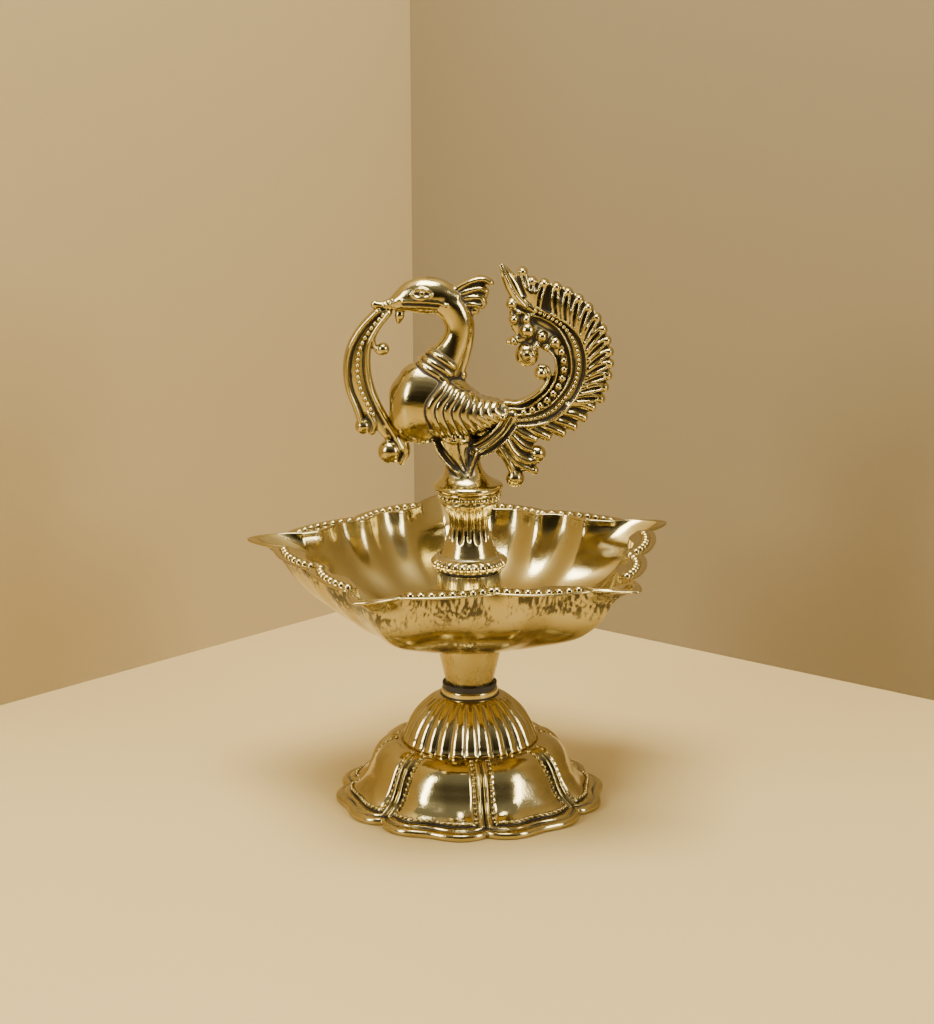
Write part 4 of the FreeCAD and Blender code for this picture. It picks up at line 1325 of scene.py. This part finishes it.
LEAF_TIPS = [(41.6, 29.2), (42.8, 32.9), (43.8, 36.7), (44.3, 40.4), (44.2, 44.2), (43.4, 47.8),
             (42.1, 51.4), (40.2, 55.0), (37.6, 58.3), (34.6, 61.0), (31.2, 63.2), (27.6, 64.8),
             (23.8, 65.9), (20.0, 66.6), (17.0, 69.6)]
LEAF_LEAD = 3.8
RIB_GAP = 0.95
BERRIES = [(18.4, 43.3, 3.9, 3.8), (18.6, 51.1, 2.8, 3.3), (23.2, 49.2, 2.1, 3.0), (27.3, 47.3, 2.2, 3.0),
           (14.2, 47.7, 1.6, 2.4), (18.2, 54.6, 1.8, 2.8), (14.3, 54.6, 1.9, 2.7), (13.6, 59.6, 2.0, 2.9),
           (22.9, 37.5, 2.3, 3.0), (21.4, 46.4, 1.5, 2.6), (24.6, 45.6, 1.4, 2.6), (16.0, 57.0, 1.2, 2.5),
           (20.0, 62.9, 2.3, 2.9), (12.6, 47.4, 0.9, 1.6)]


def leaf_ribs(tip):
    """Two ribs and a ball: they leave the outer ridge before the tip and bend out to it."""
    path = smooth_line(OUTER_RIDGE, 160)
    gaps = np.linalg.norm(path - np.array(tip), axis=1)
    step = np.linalg.norm(path[1] - path[0])
    nearest = int(np.argmin(gaps))
    reach = gaps[nearest]
    skins = [ball(tip[0], tip[1], 1.7, 2.5)]
    out = (np.array(tip) - path[nearest]) / reach
    along = np.array([-out[1], out[0]])
    for k in (-1, 1):
        root = path[max(0, nearest - int((LEAF_LEAD - 0.7 * k) / step))]
        middle = path[max(0, nearest - int((0.42 * LEAF_LEAD - k * RIB_GAP) / step))] + out * reach * 0.45
        end = np.array(tip) - out * 0.6 + along * 0.85 * k
        skins.append(limb([(*root, 0.6, 2.3), (*middle, 0.78, 2.8), (*end, 0.7, 2.2)], 14))
    return skins


tail_skins = [limb(TAIL_BACKING, 40), limb(BERRY_BACKING, 24), limb(BERRY_STEM, 20), limb(BERRY_LINK, 16),
              even_limb(OUTER_RIDGE, 0.75, 2.5, 0.7), even_limb(MIDDLE_RIDGE, 0.6, 2.35, 0.7),
              even_limb(INNER_RIDGE, 0.65, 2.35, 0.8),
              even_limb(SCROLL, 1.0, 2.5, 0.7), limb(TIP_LEAF, 24)]
tail_skins += [limb([(*line[0], 1.2, 1.9), (*line[1], 1.7, 2.5), (*line[2], 1.5, 2.0)], 20, cap=0.6)
               for line in LOW_LEAVES]
tail_skins += [ball(*berry) for berry in BERRIES]
for tip in LEAF_TIPS:
    tail_skins += leaf_ribs(tip)
print("limbs in the tail so far:", len(tail_skins))

# %% [markdown]
# Under the tail hangs a tuft of four strands on a thin web, with balls on three of their ends. It
# grows from the same root, so it is fused with the tail.

# %% Tuft
TUFT = [[(8.6, 15.6, 1.5, 2.6), (11.2, 11.6, 1.5, 2.6), (13.4, 7.4, 1.5, 2.5), (14.6, 4.0, 1.3, 2.2)],
        [(11.4, 17.2, 1.8, 2.9), (14.4, 12.0, 1.8, 2.9), (18.2, 9.4, 1.7, 2.8), (21.6, 9.4, 1.4, 2.5)],
        [(10.2, 15.2, 1.4, 2.2), (13.6, 10.2, 1.5, 2.3), (17.0, 7.4, 1.4, 2.3), (20.4, 6.0, 1.0, 1.9)],
        [(13.6, 17.6, 1.5, 2.4), (17.6, 13.8, 1.7, 2.5), (21.0, 12.6, 1.4, 2.2)],
        [(9.6, 16.0, 3.4, 1.3), (13.6, 12.4, 4.2, 1.3), (17.4, 10.4, 3.6, 1.2), (19.8, 9.6, 2.6, 1.0)]]
TUFT_BALLS = [(14.7, 3.5, 3.0, 3.2), (21.9, 11.5, 2.7, 3.0), (20.8, 6.0, 1.5, 2.0)]
tail_skins += [limb(line, 20) for line in TUFT] + [ball(*place) for place in TUFT_BALLS]

swan_tail = cast_together("swan_tail", tail_skins, 0.275)
tail_grooves = [(0.5, 0.35, [(18.4, 59.0), (14.6, 63.4), (12.4, 68.0), (10.4, 71.6)]),
                (0.35, 0.4, [(20.0, 43.8), (18.6, 45.2), (16.8, 43.8), (17.6, 42.0), (19.2, 42.6)])]
carve(swan_tail, [], tail_grooves)
mark_cavities(swan_tail, 16)
dress(swan_tail, figure_brass, "pillar", "cast_brass", "swan")

# %% [markdown]
# ### The strand in the beak
#
# A long double strand hangs from the bill round the breast. Two flanges frame a groove with beads,
# a small curl leaves it near the top, and it ends in two balls below.

# %% Strand
STRAND = [(-26.8, 57.6, 2.2, 1.4), (-31.0, 51.6, 3.0, 1.6), (-33.9, 45.6, 3.4, 1.6), (-34.9, 39.6, 3.6, 1.6),
          (-34.0, 33.4, 3.6, 1.6), (-31.6, 27.6, 3.4, 1.6), (-28.6, 22.6, 2.6, 1.6), (-25.6, 17.6, 1.8, 1.8)]
STRAND_OUT = [(-28.6, 57.4), (-33.7, 52.0), (-37.2, 46.0), (-38.4, 39.6), (-37.8, 33.0), (-35.7, 27.2),
              (-34.2, 22.4)]
STRAND_IN = [(-24.8, 57.0), (-29.0, 51.6), (-31.4, 46.6), (-32.0, 40.6), (-31.2, 34.4), (-29.2, 28.6),
             (-26.4, 23.0), (-23.2, 17.6), (-21.2, 13.4)]
STRAND_BEADS = [(-26.6, 56.2), (-30.9, 51.4), (-33.8, 46.0), (-34.9, 40.4), (-34.4, 34.4), (-32.6, 29.4),
                (-30.0, 24.6)]
CURL = [(-27.2, 54.6), (-29.4, 50.8), (-29.9, 47.4), (-28.4, 44.4), (-26.4, 44.2)]
strand_skins = [limb(STRAND, 28), even_limb(STRAND_OUT, 1.2, 2.7), even_limb(STRAND_IN, 1.15, 2.7, 1.1),
                even_limb(CURL, 0.8, 1.6), ball(-26.9, 45.3, 2.1, 2.3), ball(-33.4, 20.6, 2.7, 2.9),
                limb([(-31.4, 25.0, 1.2, 2.2), (-29.9, 21.6, 1.2, 2.2), (-30.6, 18.6, 1.1, 2.2)]),
                ball(-25.0, 12.3, 3.9, 3.8),
                limb([(-26.0, 21.0, 1.3, 2.4), (-21.2, 16.6, 1.3, 2.4), (-19.8, 12.4, 1.3, 2.4),
                      (-21.4, 8.9, 1.1, 2.2)])]
swan_strand = cast_together("swan_strand", strand_skins, 0.25)
mark_cavities(swan_strand, 14)
dress(swan_strand, figure_brass, "pillar", "cast_brass", "swan")

# %% [markdown]
# The bead rows on the tail and the strand lie in the grooves on both faces, strung by the bead tree.

# %% Swan bead rows
PEARLS = [(17.4, 24.9), (22.0, 26.8), (26.2, 30.4), (29.0, 34.6), (30.1, 39.0), (29.6, 43.4), (27.8, 46.6)]
TAIL_BAND = [(15.4, 22.4), (20.6, 22.9), (25.9, 25.0), (30.0, 28.9), (33.1, 33.2), (34.6, 38.2),
             (34.7, 42.6), (33.2, 47.6), (30.2, 52.0), (25.4, 55.4), (19.8, 57.9)]


def both_faces(line, depth):
    """A smooth line on the near face and its mirror on the far one, at a depth from the middle."""
    path = smooth_line(line, 40)
    rows = []
    for side in (-1, 1):
        row = np.stack([path[:, 0], np.full(len(path), side * depth), path[:, 1]], axis=1)
        rows.append((on_seat(row), False))
    return rows


for name, line, depth, radius, pitch in (("tail_pearls", PEARLS, 1.35, 1.25, 2.8),
                                         ("tail_band_beads", TAIL_BAND, 1.3, 0.7, 1.45),
                                         ("strand_beads", STRAND_BEADS, 1.65, 0.85, 1.75)):
    row = bead_row(name, both_faces(line, depth), radius, pitch)
    dress(row, figure_brass, "pillar", "cast_brass", "swan")
